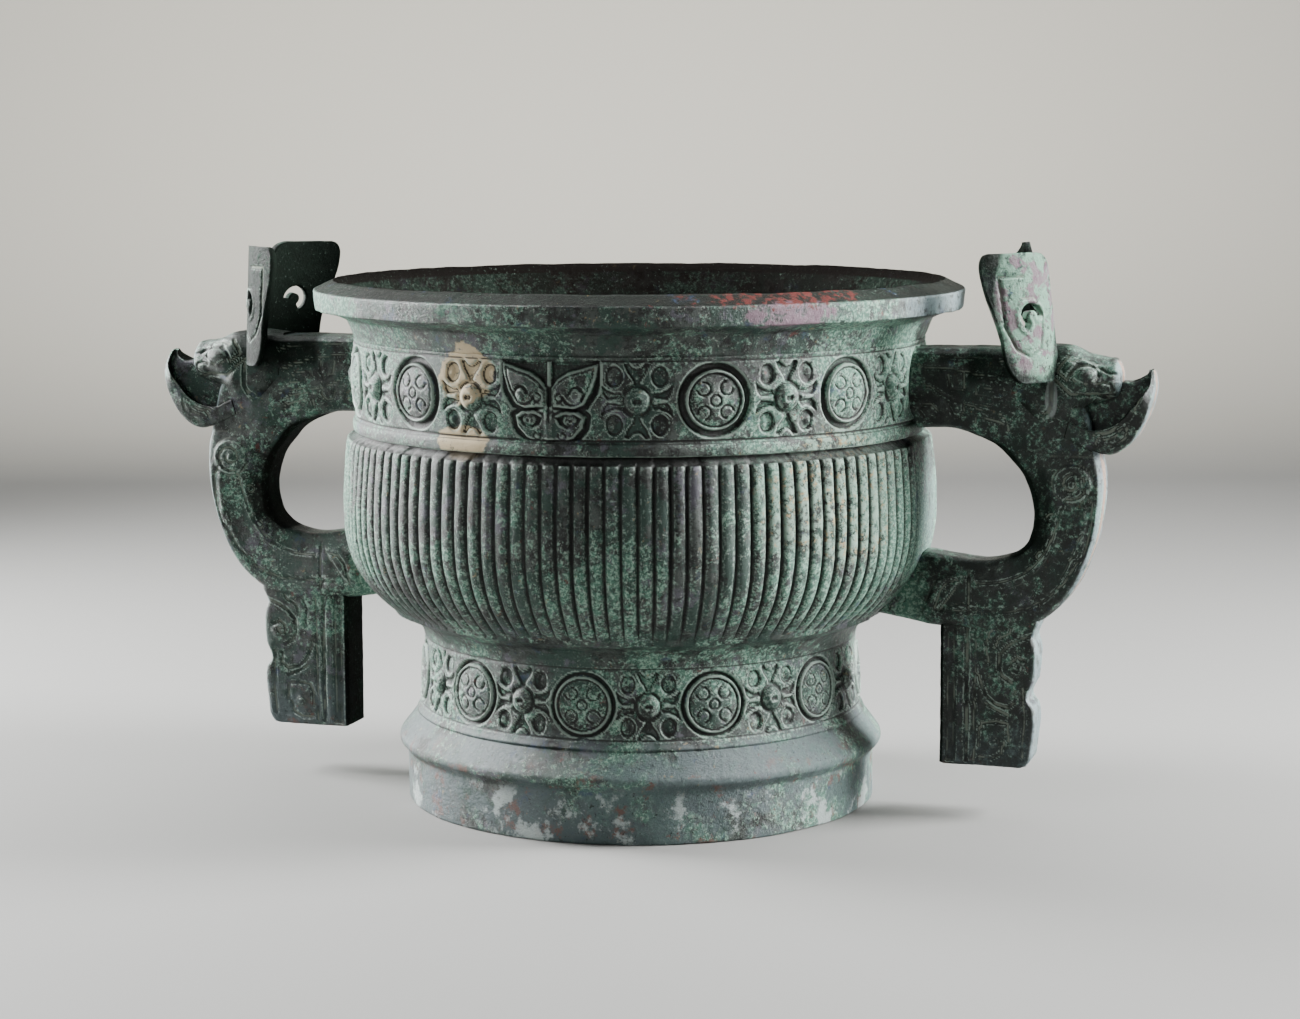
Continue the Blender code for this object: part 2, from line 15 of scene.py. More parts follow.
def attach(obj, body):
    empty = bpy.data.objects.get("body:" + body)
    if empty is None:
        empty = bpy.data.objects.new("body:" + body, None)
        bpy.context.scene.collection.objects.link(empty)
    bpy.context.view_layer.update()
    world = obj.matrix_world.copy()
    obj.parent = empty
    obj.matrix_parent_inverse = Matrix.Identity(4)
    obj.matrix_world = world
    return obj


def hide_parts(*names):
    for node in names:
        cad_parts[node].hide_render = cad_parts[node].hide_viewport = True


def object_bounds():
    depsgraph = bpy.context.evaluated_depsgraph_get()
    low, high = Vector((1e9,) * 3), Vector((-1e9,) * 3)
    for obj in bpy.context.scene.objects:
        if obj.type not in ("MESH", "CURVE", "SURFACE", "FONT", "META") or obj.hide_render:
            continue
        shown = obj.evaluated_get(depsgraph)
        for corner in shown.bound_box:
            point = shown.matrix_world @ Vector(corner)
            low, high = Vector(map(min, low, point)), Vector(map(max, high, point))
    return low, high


MM = 0.001
TURN = 2.0 * math.pi

# The photograph's camera.
CAMERA_PLACE = (0.3275, -1.0935, 0.2733)
CAMERA_LOOKS_ALONG = (-0.28087, 0.95022, -0.13489)
CAMERA_ROLL = -0.0028
CAMERA_LENS = 76.96
CAMERA_FRAME = 36.0

# Bowl.
NECK_MIDDLE = 174.3
NECK_RADIUS = 117.0
NECK_STEP = 14.3
FIRST_FLOWER = 16.2
LAST_NECK_MOTIF = 4
BELLY_RADIUS = 122.2
BELLY_HEIGHT = 123.0
BELLY_SHOULDER = 30.0
BELLY_UNDERCURVE = 64.8
RIB_PITCH = 360.0 / 122
RIBS_EACH_SIDE = 27
RIB_DEPTH = 2.0
RIB_TOP = 150.2
RIB_FOOT = 80.5
FOOT_MIDDLE = 53.5
FOOT_RADIUS = 90.0
FOOT_STEP = 360.0 / 22
FOOT_START = 2.2
# How far round each point the wear on its edges is judged.
WEAR_REACH = 0.8

# Handles.
LOOP_REACH = 164.4
LOOP_FOOT = 104.4
CURVE_REACH = 191.6
LOW_ARM_FOOT = 77.0
ARM_HALF_WIDTH = 12.0
HEAD_HALF_WIDTH = 14.5
JAW_HALF_WIDTH = 12.5
JAW_WALL = 2.4
PENDANT_INNER = 127.8
PENDANT_OUTER = 165.2
PENDANT_FOOT = 20.4
PENDANT_HALF_WIDTH = 9.5
EAR_WIDTH = 31.5
EAR_FOOT = 176.0
EAR_TOP = 226.3
EAR_THICKNESS = 3.2
EAR_BULGE = 4.0
EAR_ROOT = (173.0, 9.5)
STRAIGHT_EAR = 49.0


# Numbers over many points. Most take u, v (or s, t): places along and across a face.

def ramp(low, high, value):
    """0 below low, 1 above high, smooth between."""
    share = np.clip((value - low) / (high - low), 0.0, 1.0)
    return share * share * (3.0 - 2.0 * share)


def reach_to(line, u, v):
    """The distance of each point from a line of straight strokes."""
    best = np.full(np.shape(u), 1e6)
    for (a, b), (c, d) in zip(line, line[1:]):
        du, dv = c - a, d - b
        share = np.clip(((u - a) * du + (v - b) * dv) / (du * du + dv * dv), 0.0, 1.0)
        best = np.minimum(best, np.hypot(u - a - share * du, v - b - share * dv))
    return best


def onto(line, point):
    """The nearest place on a line to a point."""
    best, gap = point, 1e6
    for start, end in zip(line, line[1:]):
        start, end, spot = Vector(start), Vector(end), Vector(point)
        run = end - start
        share = min(1.0, max(0.0, (spot - start).dot(run) / run.length_squared))
        place = start + run * share
        if (place - spot).length < gap:
            best, gap = tuple(place), (place - spot).length
    return best


def stroke(line, width, u, v):
    """1 on a line, falling to 0 at half a width of it."""
    return 1.0 - ramp(0.12 * width, 0.55 * width, reach_to(line, u, v))


def depth_in(outline, u, v):
    """How deep each point lies inside an outline, negative outside."""
    closed = list(outline) + [outline[0]]
    inside = np.zeros(np.shape(u), bool)
    for (a, b), (c, d) in zip(closed, closed[1:]):
        if b == d:
            continue
        crosses = (b > v) != (d > v)
        inside ^= crosses & (u < a + (c - a) * (v - b) / (d - b))
    reach = reach_to(closed, u, v)
    return np.where(inside, reach, -reach)


def raised(outline, edge, u, v):
    """1 inside an outline, rounded off over an edge width."""
    return ramp(-0.3 * edge, edge, depth_in(outline, u, v))


def incised(lines, u, v):
    """How deep the cuts of a list of (depth, width, line) strokes go."""
    return sum(depth * stroke(line, width, u, v) for depth, width, line in lines)


def dome(middle, radii, u, v):
    """A half ball seen from above, 1 in the middle and 0 at its edge."""
    square = ((u - middle[0]) / radii[0]) ** 2 + ((v - middle[1]) / radii[1]) ** 2
    return np.sqrt(np.clip(1.0 - square, 0.0, 1.0))


def curl(middle, start, turns, outer, inner):
    """A spiral stroke round a middle: start in degrees, turns signed."""
    steps = max(6, round(abs(turns) * 14))
    line = []
    for step in range(steps + 1):
        share = step / steps
        angle = math.radians(start + 360.0 * turns * share)
        radius = outer + (inner - outer) * share
        line.append((middle[0] + radius * math.cos(angle), middle[1] + radius * math.sin(angle)))
    return line


def uneven(spots, length, depth):
    """Gentle hand-made unevenness with a given wave length."""
    x, y, z = (spots * (TURN / length)).T
    return depth * (np.sin(x + 1.7 * np.sin(0.8 * y + 0.3 * z))
                    + np.sin(1.1 * y + 1.3 * np.sin(0.9 * z + 0.5 * x))
                    + np.sin(0.95 * z + 1.5 * np.sin(1.05 * x + 0.2 * y))) / 3.0


def weathering(spots):
    """The uneven skin of old cast bronze."""
    return uneven(spots, 47.0, 0.22) + uneven(spots, 17.0, 0.1) + uneven(spots, 6.3, 0.06)


# Making pieces.

def placed(name, bm, material):
    """A smooth-shaded object from a finished bmesh, its doubled points merged."""
    bmesh.ops.remove_doubles(bm, verts=bm.verts, dist=0.002 * MM)
    bmesh.ops.recalc_face_normals(bm, faces=bm.faces)
    mesh = bpy.data.meshes.new(name)
    bm.to_mesh(mesh)
    bm.free()
    mesh.shade_smooth()
    mesh.materials.append(material)
    thing = bpy.data.objects.new(name, mesh)
    bpy.context.scene.collection.objects.link(thing)
    return thing


def finish_piece(name, bm, relief=None):
    """Makes the object, carves its relief and hands it to the frame."""
    piece = placed(name, bm, METAL)
    carve(piece.data, relief)
    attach(piece, "root")
    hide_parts("gui_vessel")
    return piece


def carve(mesh, relief):
    """Moves a mesh's points along their normals, and notes how high and how exposed each is."""
    count = len(mesh.vertices)
    spots = np.empty(3 * count)
    mesh.vertices.foreach_get("co", spots)
    spots = spots.reshape(-1, 3) / MM
    facing = np.empty(3 * count)
    mesh.vertex_normals.foreach_get("vector", facing)
    facing = facing.reshape(-1, 3)
    height = np.zeros(count)
    around = np.zeros(count)
    if relief:
        along = np.cross(facing, (0.0, 0.3, 1.0))
        along /= np.maximum(np.linalg.norm(along, axis=1), 1e-6)[:, None]
        across = np.cross(facing, along)
        height = relief(spots, facing)
        for way in (along, -along, across, -across):
            around += 0.25 * relief(spots + WEAR_REACH * way, facing)
    moved = (spots + facing * (height + weathering(spots) - 0.15)[:, None]) * MM
    low, high = np.array(CAD_BOUNDS[0]), np.array(CAD_BOUNDS[1])
    moved = np.clip(moved, low, high)
    mesh.vertices.foreach_set("co", moved.ravel())
    turned_out = outward(spots, facing)
    for name, values in (("carving", height), ("wear", height - around), ("turned_out", turned_out)):
        mesh.attributes.new(name, "FLOAT", "POINT").data.foreach_set("value", values.astype(np.float32))
    mesh.update()


def softened(points, cut):
    """A line with its inner corners rounded off over at most a cut length."""
    result = [points[0]]
    for before, corner, after in zip(points, points[1:], points[2:]):
        before, corner, after = Vector(before), Vector(corner), Vector(after)
        back, ahead = before - corner, after - corner
        start = corner + back.normalized() * min(cut, 0.45 * back.length)
        end = corner + ahead.normalized() * min(cut, 0.45 * ahead.length)
        for share in (0.0, 0.33, 0.67, 1.0):
            result.append(tuple(start.lerp(corner, share).lerp(corner.lerp(end, share), share)))
    return result + [points[-1]]


def spaced(points, step):
    """A line's points with others set between them about a step apart."""
    result = [points[0]]
    for first, second in zip(points, points[1:]):
        count = max(1, round(math.dist(first, second) / step))
        for place in range(1, count + 1):
            result.append(tuple(Vector(first).lerp(Vector(second), place / count)))
    return result


def spun(name, profile, sectors, steps, relief=None, closed=True):
    """A ring or a dish of (radius, height) points: one sector is spun, then repeated round the axis."""
    bm = bmesh.new()
    corners = [bm.verts.new((0.0, -radius * MM, height * MM)) for radius, height in profile]
    ends = corners[1:] + (corners[:1] if closed else [])
    for first, second in zip(corners, ends):
        bm.edges.new((first, second))
    axis = {"cent": (0.0, 0.0, 0.0), "axis": (0.0, 0.0, 1.0)}
    bmesh.ops.spin(bm, geom=bm.verts[:] + bm.edges[:], angle=TURN / sectors, steps=steps, **axis)
    sector = bm.verts[:] + bm.edges[:] + bm.faces[:]
    bmesh.ops.spin(bm, geom=sector, angle=TURN * (sectors - 1) / sectors, steps=sectors - 1,
                   use_duplicate=True, **axis)
    return finish_piece(name, bm, relief)


def outward(spots, facing):
    """How squarely each point faces away from the vessel's axis, 1 straight out and -1 straight in."""
    radius = np.maximum(np.hypot(spots[:, 0], spots[:, 1]), 1.0)
    return (spots[:, 0] * facing[:, 0] + spots[:, 1] * facing[:, 1]) / radius


# Bowl and foot.

def belly_radius(height):
    """The belly's radius over the crowns of its ribs."""
    if height < BELLY_HEIGHT:
        share, power, spread = (BELLY_HEIGHT - height) / BELLY_UNDERCURVE, 2.7, 1.2
    else:
        share, power, spread = (height - BELLY_HEIGHT) / BELLY_SHOULDER, 1.5, 0.022
    share = min(share, 1.0)
    return BELLY_RADIUS * (1.0 - spread * (1.0 - (1.0 - share ** power) ** (1.0 / power)))


def rim_relief(spots, facing):
    """Shallow dents along the rim's edges."""
    return uneven(spots, 23.0, 0.12) + uneven(spots, 9.0, 0.08) - 0.1


def rim_and_inside():
    """The everted rim, its hollow neck curve and the bowl's smooth inside."""
    outside = softened([(115.2, 186.0), (116.2, 189.0), (120.2, 198.6), (127.8, 202.0), (132.5, 202.2),
                        (133.3, 210.3), (124.6, 214.3)], 1)
    inside = softened([(124.6, 214.3), (114.7, 195.0), (111.7, 181.0), (111.7, 158.5)], 8.0)
    lining = [(belly_radius(height) - 6.0, height) for height in (146.0, 135.0, 122.0, 110.7, 100.0, 93.8)]
    floor = [(92.2, 81.4), (71.0, 70.9), (29.6, 70.0), (0.0, 70.0)]
    back = [(0.0, 68.5), (70.0, 68.5), (93.0, 79.0), (113.0, 100.0), (118.0, 123.0), (113.4, 150.0),
            (113.4, 182), (115.2, 186)]
    profile = (spaced(outside, 1.7) + spaced(inside, 4.0)[1:]
               + spaced(softened([inside[-1]] + lining + floor, 6.0), 8.0)[1:] + back[:-1])
    spun("rim_and_inside", profile + [profile[0]], sectors=24, steps=16, relief=rim_relief, closed=False)


WHORL = curl((6.2, 0.0), 60.0, 0.72, 2.7, 2.3)
FIELD = 0.75
SUNK = -1.1
ROUNDEL_RADIUS = 11.3


def moat(height, reach, size):
    """Sinks the field into a round moat about a roundel."""
    return SUNK + (height - SUNK) * ramp(13.4 * size, 14.5 * size, reach)


def roundel(s, t, size):
    """A low domed disc with a ring line and four whorls, in its round moat."""
    reach, radius = np.hypot(s, t), ROUNDEL_RADIUS
    disc = 0.9 + 0.9 * np.clip(1.0 - (reach / (0.82 * radius)) ** 2, 0.0, 1.0)
    height = disc + (1.6 - disc) * ramp(0.88 * radius, 0.94 * radius, reach)
    height -= 0.65 * (1.0 - ramp(0.1, 0.6, np.abs(reach - 0.88 * radius)))
    turn = np.mod(np.arctan2(t, s), 0.25 * TURN) - 0.125 * TURN
    whorl = reach_to(WHORL, reach * np.cos(turn), reach * np.sin(turn))
    whorl = np.minimum(whorl, np.abs(reach - 2.0))
    height -= 0.7 * (1.0 - ramp(0.12, 0.6, whorl))
    ground = moat(np.full(reach.shape, FIELD), reach, size)
    return ground + (height - ground) * (1.0 - ramp(radius - 0.6, radius + 0.7, reach))


def flower(s, t, spacing, size):
    """A domed boss among four broad curled lobes, cut out by dark sockets, slots and side moats."""
    a, b = np.abs(s) / size, np.abs(t) / size
    height = np.full(np.shape(s), FIELD)
    slot = depth_in([(-1.0, 6.2), (0.9, 6.2), (1.6, 8.2), (3.4, 10.6), (4.6, 13.6), (3.2, 13.9), (1.6, 12.2),
                     (-1, 11.4)], a, b)
    gap = depth_in([(5.6, 1.4), (8.0, 1.0), (11.0, 0.7), (12.6, 2.6), (13.2, 5.6), (11.2, 4.0), (8.4, 2.9),
                    (6.2, 3)], a, b)
    cut = np.maximum(slot, gap)
    height -= (FIELD - SUNK) * ramp(-0.45, 0.5, cut)
    socket = 1.0 - ramp(2.7, 3.6, np.hypot(a - 8.6, (b - 9.0) * 0.84))
    height -= 2.0 * socket
    height += 1.7 * dome((9.9, 9.2), (2.3, 2.9), a, b)
    collar = np.hypot(a, b * 0.94)
    height -= 0.7 * (1.0 - ramp(0.3, 1.2, np.abs(collar - 5.4)))
    height = np.maximum(height, 3.3 * dome((0.0, 0.0), (4.8, 5.1), a, b) - 0.3)
    height -= 1.0 * (1.0 - ramp(0.5, 1.4, np.hypot(a - 0.6, b)))
    return moat(height, np.hypot(np.abs(s) - spacing, t), size)


MASK_HORN = [(0.5, -3), (0.6, 4.6), (3, 8.2), (7, 10.8), (12, 12.2), (19.4, 14.4), (18.6, 9),
             (16.6, 3), (13.4, -2), (9.6, -3.6), (4.6, -3.2)]
MASK_HORN_LINE = [(1.7, -1.6), (1.8, 4), (4, 6.9), (7.8, 9.2), (12.6, 10.6), (17.2, 12.2), (16.6, 8.6),
                  (14.8, 3.8), (12.6, 0.2)]
MASK_FACE = [(-1, -1), (5, -3.4), (11.4, -3.8), (14, -6), (13.2, -10.4), (9.4, -14.6),
             (4.4, -16.6), (-1, -17.4)]
MASK_BROW_HOLLOW = [(-2, 3.6), (1, 5), (3.2, 8.6), (7, 11.2), (12, 12.8), (15, 14.6),
                    (-2, 14.6)]
MASK_EYE = [(2.6, -6.4), (5.4, -5), (9.6, -4.9), (12.6, -6.6), (10.6, -9.6), (6.6, -10.4), (3.8, -9.2)]


def mask(s, t):
    """The horned beast's face in the middle of the neck band."""
    a = np.abs(s)
    face, horn = depth_in(MASK_FACE, a, t), depth_in(MASK_HORN, a, t)
    height = SUNK + (FIELD - SUNK) * ramp(1.2, 2.4, -np.maximum(face, horn))
    height += (SUNK - height) * raised(MASK_BROW_HOLLOW, 1.0, a, t)
    height += (1.6 - height) * ramp(-0.4, 1.2, face)
    height += (2.4 - height) * ramp(-0.4, 1.4, horn)
    height -= 0.8 * stroke(MASK_HORN_LINE, 1.4, a, t)
    height -= 0.8 * stroke(curl((10.2, 2.4), 200.0, 0.9, 4.6, 1.8), 1.6, a, t)
    height += 0.9 * dome((10.4, 2.2), (2.0, 2.4), a, t)
    height -= 0.7 * stroke(curl((4.4, 1.0), 90.0, 0.8, 1.7, 1.2), 1.2, a, t)
    height -= 1.9 * raised(MASK_EYE, 0.9, a, t)
    height += 2.1 * dome((8.0, -7.5), (3.0, 2.4), a, t)
    height -= 0.6 * (1.0 - ramp(0.2, 0.9, np.hypot(a - 8.4, t + 7.5)))
    height -= 0.7 * stroke([(2.4, -4.8), (6.6, -3.6), (12.2, -4.2)], 1.3, a, t)
    height -= 0.7 * stroke(curl((5.0, -13.2), 160.0, 0.8, 1.8, 1.0), 1.2, a, t)
    height += 0.8 * (1.0 - ramp(0.8, 2.2, a)) * ramp(-4.0, -6.0, t)
    height -= 0.9 * (1.0 - ramp(0.1, 0.8, a)) * ramp(-9.0, -7.0, t)
    stalk = (1.0 - ramp(0.5, 1.3, a)) * ramp(4.0, 6.0, t)
    return np.maximum(height, SUNK + 1.9 * stalk)


def bordered(height, reach, start, line):
    """Ends a band of motifs in a plain border, marked off by a fine line."""
    border = ramp(start, start + 0.8, reach)
    return height + (FIELD - height) * border - 0.6 * (1.0 - ramp(0.1, 0.7, np.abs(reach - line)))


def neck_relief(spots, facing):
    """Mask, flowers and roundels round the neck, between two plain borders."""
    azimuth = np.degrees(np.arctan2(np.abs(spots[:, 0]), np.abs(spots[:, 1])))
    t = spots[:, 2] - NECK_MIDDLE
    place = np.clip(np.round((azimuth - FIRST_FLOWER) / NECK_STEP), 0, LAST_NECK_MOTIF)
    s = np.radians(azimuth - FIRST_FLOWER - NECK_STEP * place) * NECK_RADIUS
    spacing = math.radians(NECK_STEP) * NECK_RADIUS
    height = np.where(place % 2 == 0, flower(s, t, spacing, 1.0), roundel(s, t, 1.0))
    across = np.radians(azimuth) * NECK_RADIUS
    middle = azimuth < FIRST_FLOWER - 0.5 * NECK_STEP + 0.5
    height[middle] = mask(across[middle] * np.sign(spots[middle, 0] + 1e-9), t[middle])
    height = bordered(height, np.abs(t + 0.2), 14.2, 14.9)
    return height * ramp(0.3, 0.7, outward(spots, facing))


def neck_band():
    """The band of motifs round the neck."""
    outside = spaced([(116.4, 191.0), (117.0, 182.0), (117.3, 174.3), (116.6, 166.0), (115.9, 157.4)], 0.52)
    inside = [(113.6, 157.4), (113.2, 174.0), (113.6, 188.0)]
    spun("neck_band", outside + inside, sectors=32, steps=40, relief=neck_relief)


def belly_relief(spots, facing):
    """Upright round ribs with finger-tip ends under the cord."""
    azimuth = np.degrees(np.arctan2(spots[:, 0], np.abs(spots[:, 1])))
    rib = azimuth / RIB_PITCH
    number = np.round(rib)
    across = 2.0 * np.abs(rib - number)
    lift = np.maximum(spots[:, 2] - RIB_TOP + 1.2, 0.0) / 2.6
    end = np.clip(np.hypot(across, lift), 0.0, 1.0)
    depth = RIB_DEPTH * (1.0 + 0.16 * np.sin(7.3 * number) + 0.1 * np.sin(3.1 * number + spots[:, 2] / 9.0))
    groove = -depth * (0.62 * end ** 2.4 + 0.38 * ramp(0.72, 1.0, end))
    groove *= ramp(RIB_FOOT - 3.0, RIB_FOOT + 10.0, spots[:, 2])
    covered = ramp(RIBS_EACH_SIDE + 0.2, RIBS_EACH_SIDE + 0.6, np.abs(rib))
    groove = groove * (1.0 - covered) - 0.5 * covered
    cord = ramp(152.4, 153.2, spots[:, 2])
    groove *= 1.0 - cord
    groove -= 0.5 * (1.0 - ramp(0.1, 0.8, np.abs(spots[:, 2] - 158.4)))
    return groove * ramp(0.05, 0.35, outward(spots, facing))


def ribbed_belly():
    """The belly and the plain cord above its ribs."""
    cord = spaced(softened([(113.9, 159.6), (117.6, 158.6), (117.9, 155.8), (117.7, 153.2), (116.0, 152.7)],
                           0.8), 0.9)
    ribs = [(belly_radius(height) + 0.1, height) for height in np.linspace(151.7, RIB_FOOT, 44)]
    under = spaced([(belly_radius(RIB_FOOT) - 0.3, RIB_FOOT - 1.4), (94.0, 75.4), (89.0, 71.0)], 2.2)
    inside = [(86.0, 71.2), (92.0, 77.0), (109.0, 92.0), (115.6, 110.0), (117.6, 124.0), (114.0, 150.0)]
    spun("ribbed_belly", cord + ribs + under + inside, sectors=61, steps=20, relief=belly_relief)


def foot_band_relief(spots, facing):
    """Roundels and flowers round the foot."""
    azimuth = np.degrees(np.arctan2(spots[:, 0], -spots[:, 1])) - FOOT_START
    t = spots[:, 2] - FOOT_MIDDLE
    place = np.round(azimuth / FOOT_STEP)
    s = np.radians(azimuth - FOOT_STEP * place) * FOOT_RADIUS
    spacing = math.radians(FOOT_STEP) * FOOT_RADIUS
    height = np.where(place % 2 == 0, roundel(s, t, 0.92), flower(s, t, spacing, 0.93))
    height = bordered(height, np.abs(t - 0.3), 13.2, 13.8)
    return height * ramp(0.3, 0.7, outward(spots, facing))


def foot_band():
    """The band of motifs round the upper foot, under a small hollow curve."""
    outside = spaced(softened([(93.5, 76.5), (89.4, 71.0), (88.8, 66.5), (90.9, 39.0), (92.6, 36.5)], 2.5),
                     0.64)
    inside = [(88.0, 36.5), (86.6, 52.0), (85.4, 66.0), (88.0, 73.0)]
    spun("foot_band", outside + inside, sectors=26, steps=40, relief=foot_band_relief)


def foot_ring():
    """The flared moulding, the straight foot ring and the hollow under the bowl."""
    outside = softened([(88.6, 40.5), (91.2, 38.6), (98.3, 29.2), (100.3, 26.6), (100.3, 24.0), (97.0, 20.6),
                        (96.8, 0), (92.3, 0), (92.3, 20.5), (86.5, 36.5), (84.2, 62.5), (78.8, 65.5),
                        (0, 65.5)], 0.9)
    over = [(0.0, 68.8), (80.0, 68.8), (87.0, 66.5), (88.6, 40.5)]
    profile = spaced(outside[:25], 1.7) + outside[25:] + over
    spun("foot_ring", profile, sectors=24, steps=16, closed=False)


# Handles, made on the +X side.

def between(stations, count):
    """Stations joined by a smooth curve, resampled at equal steps of length."""
    values = np.array(stations, float)
    middles = values.mean(axis=1)
    lengths = np.concatenate([[0.0], np.cumsum(np.linalg.norm(np.diff(middles, axis=0), axis=1) + 1e-6)])
    flat = values.reshape(len(values), -1)
    slopes = np.gradient(flat, lengths, axis=0)
    places = np.linspace(0.0, lengths[-1], count)
    number = np.clip(np.searchsorted(lengths, places, side="right") - 1, 0, len(lengths) - 2)
    gap = (lengths[number + 1] - lengths[number])[:, None]
    share = (places - lengths[number])[:, None] / gap
    square, cube = share ** 2, share ** 3
    curve = ((2 * cube - 3 * square + 1) * flat[number] + (cube - 2 * square + share) * gap * slopes[number]
             + (3 * square - 2 * cube) * flat[number + 1] + (cube - square) * gap * slopes[number + 1])
    return curve.reshape(count, values.shape[1], 3)


def rounding(corners, cut, count):
    """Shares of each corner in the points of a rounded ring through them."""
    shares = np.eye(len(corners))
    for _ in range(3):
        after = np.roll(shares, -1, axis=0)
        shares = np.stack([(1 - cut) * shares + cut * after, cut * shares + (1 - cut) * after], axis=1)
        shares = shares.reshape(-1, len(corners))
    ring = shares @ np.array(corners, float)
    ring = np.vstack([ring, ring[:1]])
    shares = np.vstack([shares, shares[:1]])
    lengths = np.concatenate([[0.0], np.cumsum(np.linalg.norm(np.diff(ring, axis=0), axis=1))])
    places = np.linspace(0.0, lengths[-1], count + 1)
    return np.stack([np.interp(places, lengths, column) for column in shares.T], axis=1)


# Points along and around each skin of a handle.
HANDLE_NETS = {"handle": (380, 112), "head": (90, 116), "jaw": (90, 130), "pendant": (100, 140)}


def skin(name, stations, net, relief, turned, cut=0.1, ends=(1.0, 1.0)):
    """A closed skin over sections, rounded at both ends, turned to the other side for the left."""
    along, around = net
    rings = between(stations, along - 1)
    shares = rounding(rings[len(rings) // 2], cut, around)
    points = np.einsum("rc,ack->ark", shares, rings)
    middles = points[:, :-1].mean(axis=1, keepdims=True)
    for end, size in ((0, ends[0]), (-1, ends[1])):
        points[end] = middles[end] + (points[end] - middles[end]) * size
    bm = bmesh.new()
    bmesh.ops.create_grid(bm, x_segments=along - 2, y_segments=around, size=1.0)
    row = np.array([round((vert.co.x + 1.0) * 0.5 * (along - 2)) for vert in bm.verts])
    column = np.array([round((vert.co.y + 1.0) * 0.5 * around) for vert in bm.verts])
    places = points[row, column] * MM
    if turned:
        places[:, :2] *= -1.0
    for vert, place in zip(bm.verts, places):
        vert.co = place
    bmesh.ops.remove_doubles(bm, verts=bm.verts, dist=0.002 * MM)
    bmesh.ops.holes_fill(bm, edges=[edge for edge in bm.edges if edge.is_boundary], sides=0)
    return finish_piece(name, bm, relief)


def flat_section(inner, outer, half_width, corners):
    """A section between two points in the handle's plane, with corner shares across its width."""
    (a, b), (c, d) = inner, outer
    ring = [(a + (c - a) * share, half_width * side, b + (d - b) * share) for share, side in corners]
    return ring + [(x, -y, z) for x, y, z in reversed(ring)]


BAR_CORNERS = [(0, 0), (0, 0.55), (0.05, 0.74), (0.32, 0.97), (0.5, 1), (0.93, 1), (1, 0.72),
               (1, 0)]


def bar_stations():
    """The arm, the curve round the loop and the low arm, as inner and outer points."""
    inner_reach, inner_rise = LOOP_REACH - 116.2, 51.3
    outer_reach, outer_rise = CURVE_REACH - 116.2, 111.3
    shares = [((0.651, 1.0), (0.777, 1.0), 1.0), ((0.456, 0.944), (0.552, 1.0), 1.0),
              ((0.295, 0.868), (0.26, 0.982), 1), ((0.18, 0.757), (0.101, 0.818), 0.97),
              ((0.085, 0.64), (0.033, 0.656), 0.88), ((0.023, 0.493), (0, 0.548), 0.875),
              ((0, 0.343), (0.008, 0.413), 0.875), ((0.017, 0.226), (0.042, 0.301), 0.875),
              ((0.058, 0.125), (0.113, 0.175), 0.875), ((0.154, 0.043), (0.199, 0.09), 0.875),
              ((0.29, 0), (0.333, 0.018), 0.875), ((0.672, 0.006), (0.857, -0.005), 0.875),
              ((0.9, 0.035), (1.03, 0.012), 0.84)]
    stations = [((113.0, 155.7), (113.0, 188.3), ARM_HALF_WIDTH)]
    for (a, b), (c, d), width in shares:
        inner = (LOOP_REACH - inner_reach * a, LOOP_FOOT + inner_rise * b)
        outer = (CURVE_REACH - outer_reach * c, LOW_ARM_FOOT + outer_rise * d)
        stations.append((inner, outer, ARM_HALF_WIDTH * width))
    stations.append(((belly_radius(LOOP_FOOT) - 3.0, 104.4), (belly_radius(RIB_FOOT) - 2.0, 80.5), 9.0))
    return [flat_section(*station, BAR_CORNERS) for station in stations]


OUTER_LINE = [(184, 134), (188, 127.9), (187.7, 119.2), (186.6, 112.9), (184.8, 107), (182, 103.9),
              (177.8, 96.6), (169.2, 88.6), (161.8, 85.2), (155.6, 83.9), (140.1, 83.2), (127, 83.4)]
BAND_ONE_INNER = [(140, 87.9), (155.5, 87.7), (166.6, 90.6), (172.6, 95.6), (176.8, 102.4), (180.6, 112.5),
                  (182.2, 122.9), (182.6, 129.8)]
BAND_TWO = [(178.5, 129.4), (177.3, 119.6), (175.3, 111.5), (171.1, 104), (165.8, 97.4), (160.2, 93.4),
            (154, 90.9), (140, 90.4), (140.4, 98), (149.1, 97.9), (157.5, 100.6), (164.6, 106.4),
            (167, 110.5), (168.1, 118.9), (170.4, 124.2), (173.5, 128.6)]
BAND_TWO_LINE = [(177.4, 129), (175.9, 125.4), (174.4, 119.8), (172.4, 113.9), (169.4, 107.9),
                 (165.2, 102.9), (159.6, 98.4), (151.9, 95.4), (142.4, 94.6)]
CURVE_FIELD = OUTER_LINE + [(138.0, 98.6), (149.1, 98.4), (157.2, 101.2), (164.2, 107.0), (166.4, 111.0),
                            (167.4, 119.2), (169.6, 124.6), (172.5, 131)]
WING = [(138.2, 98.4), (130.6, 98), (126.4, 95.7), (123.4, 89.3), (120, 80.6), (128.5, 79),
        (138.2, 79.5)]
WING_LINE = [(136.9, 96.2), (130.9, 94.7), (128.2, 91.4), (126, 84)]
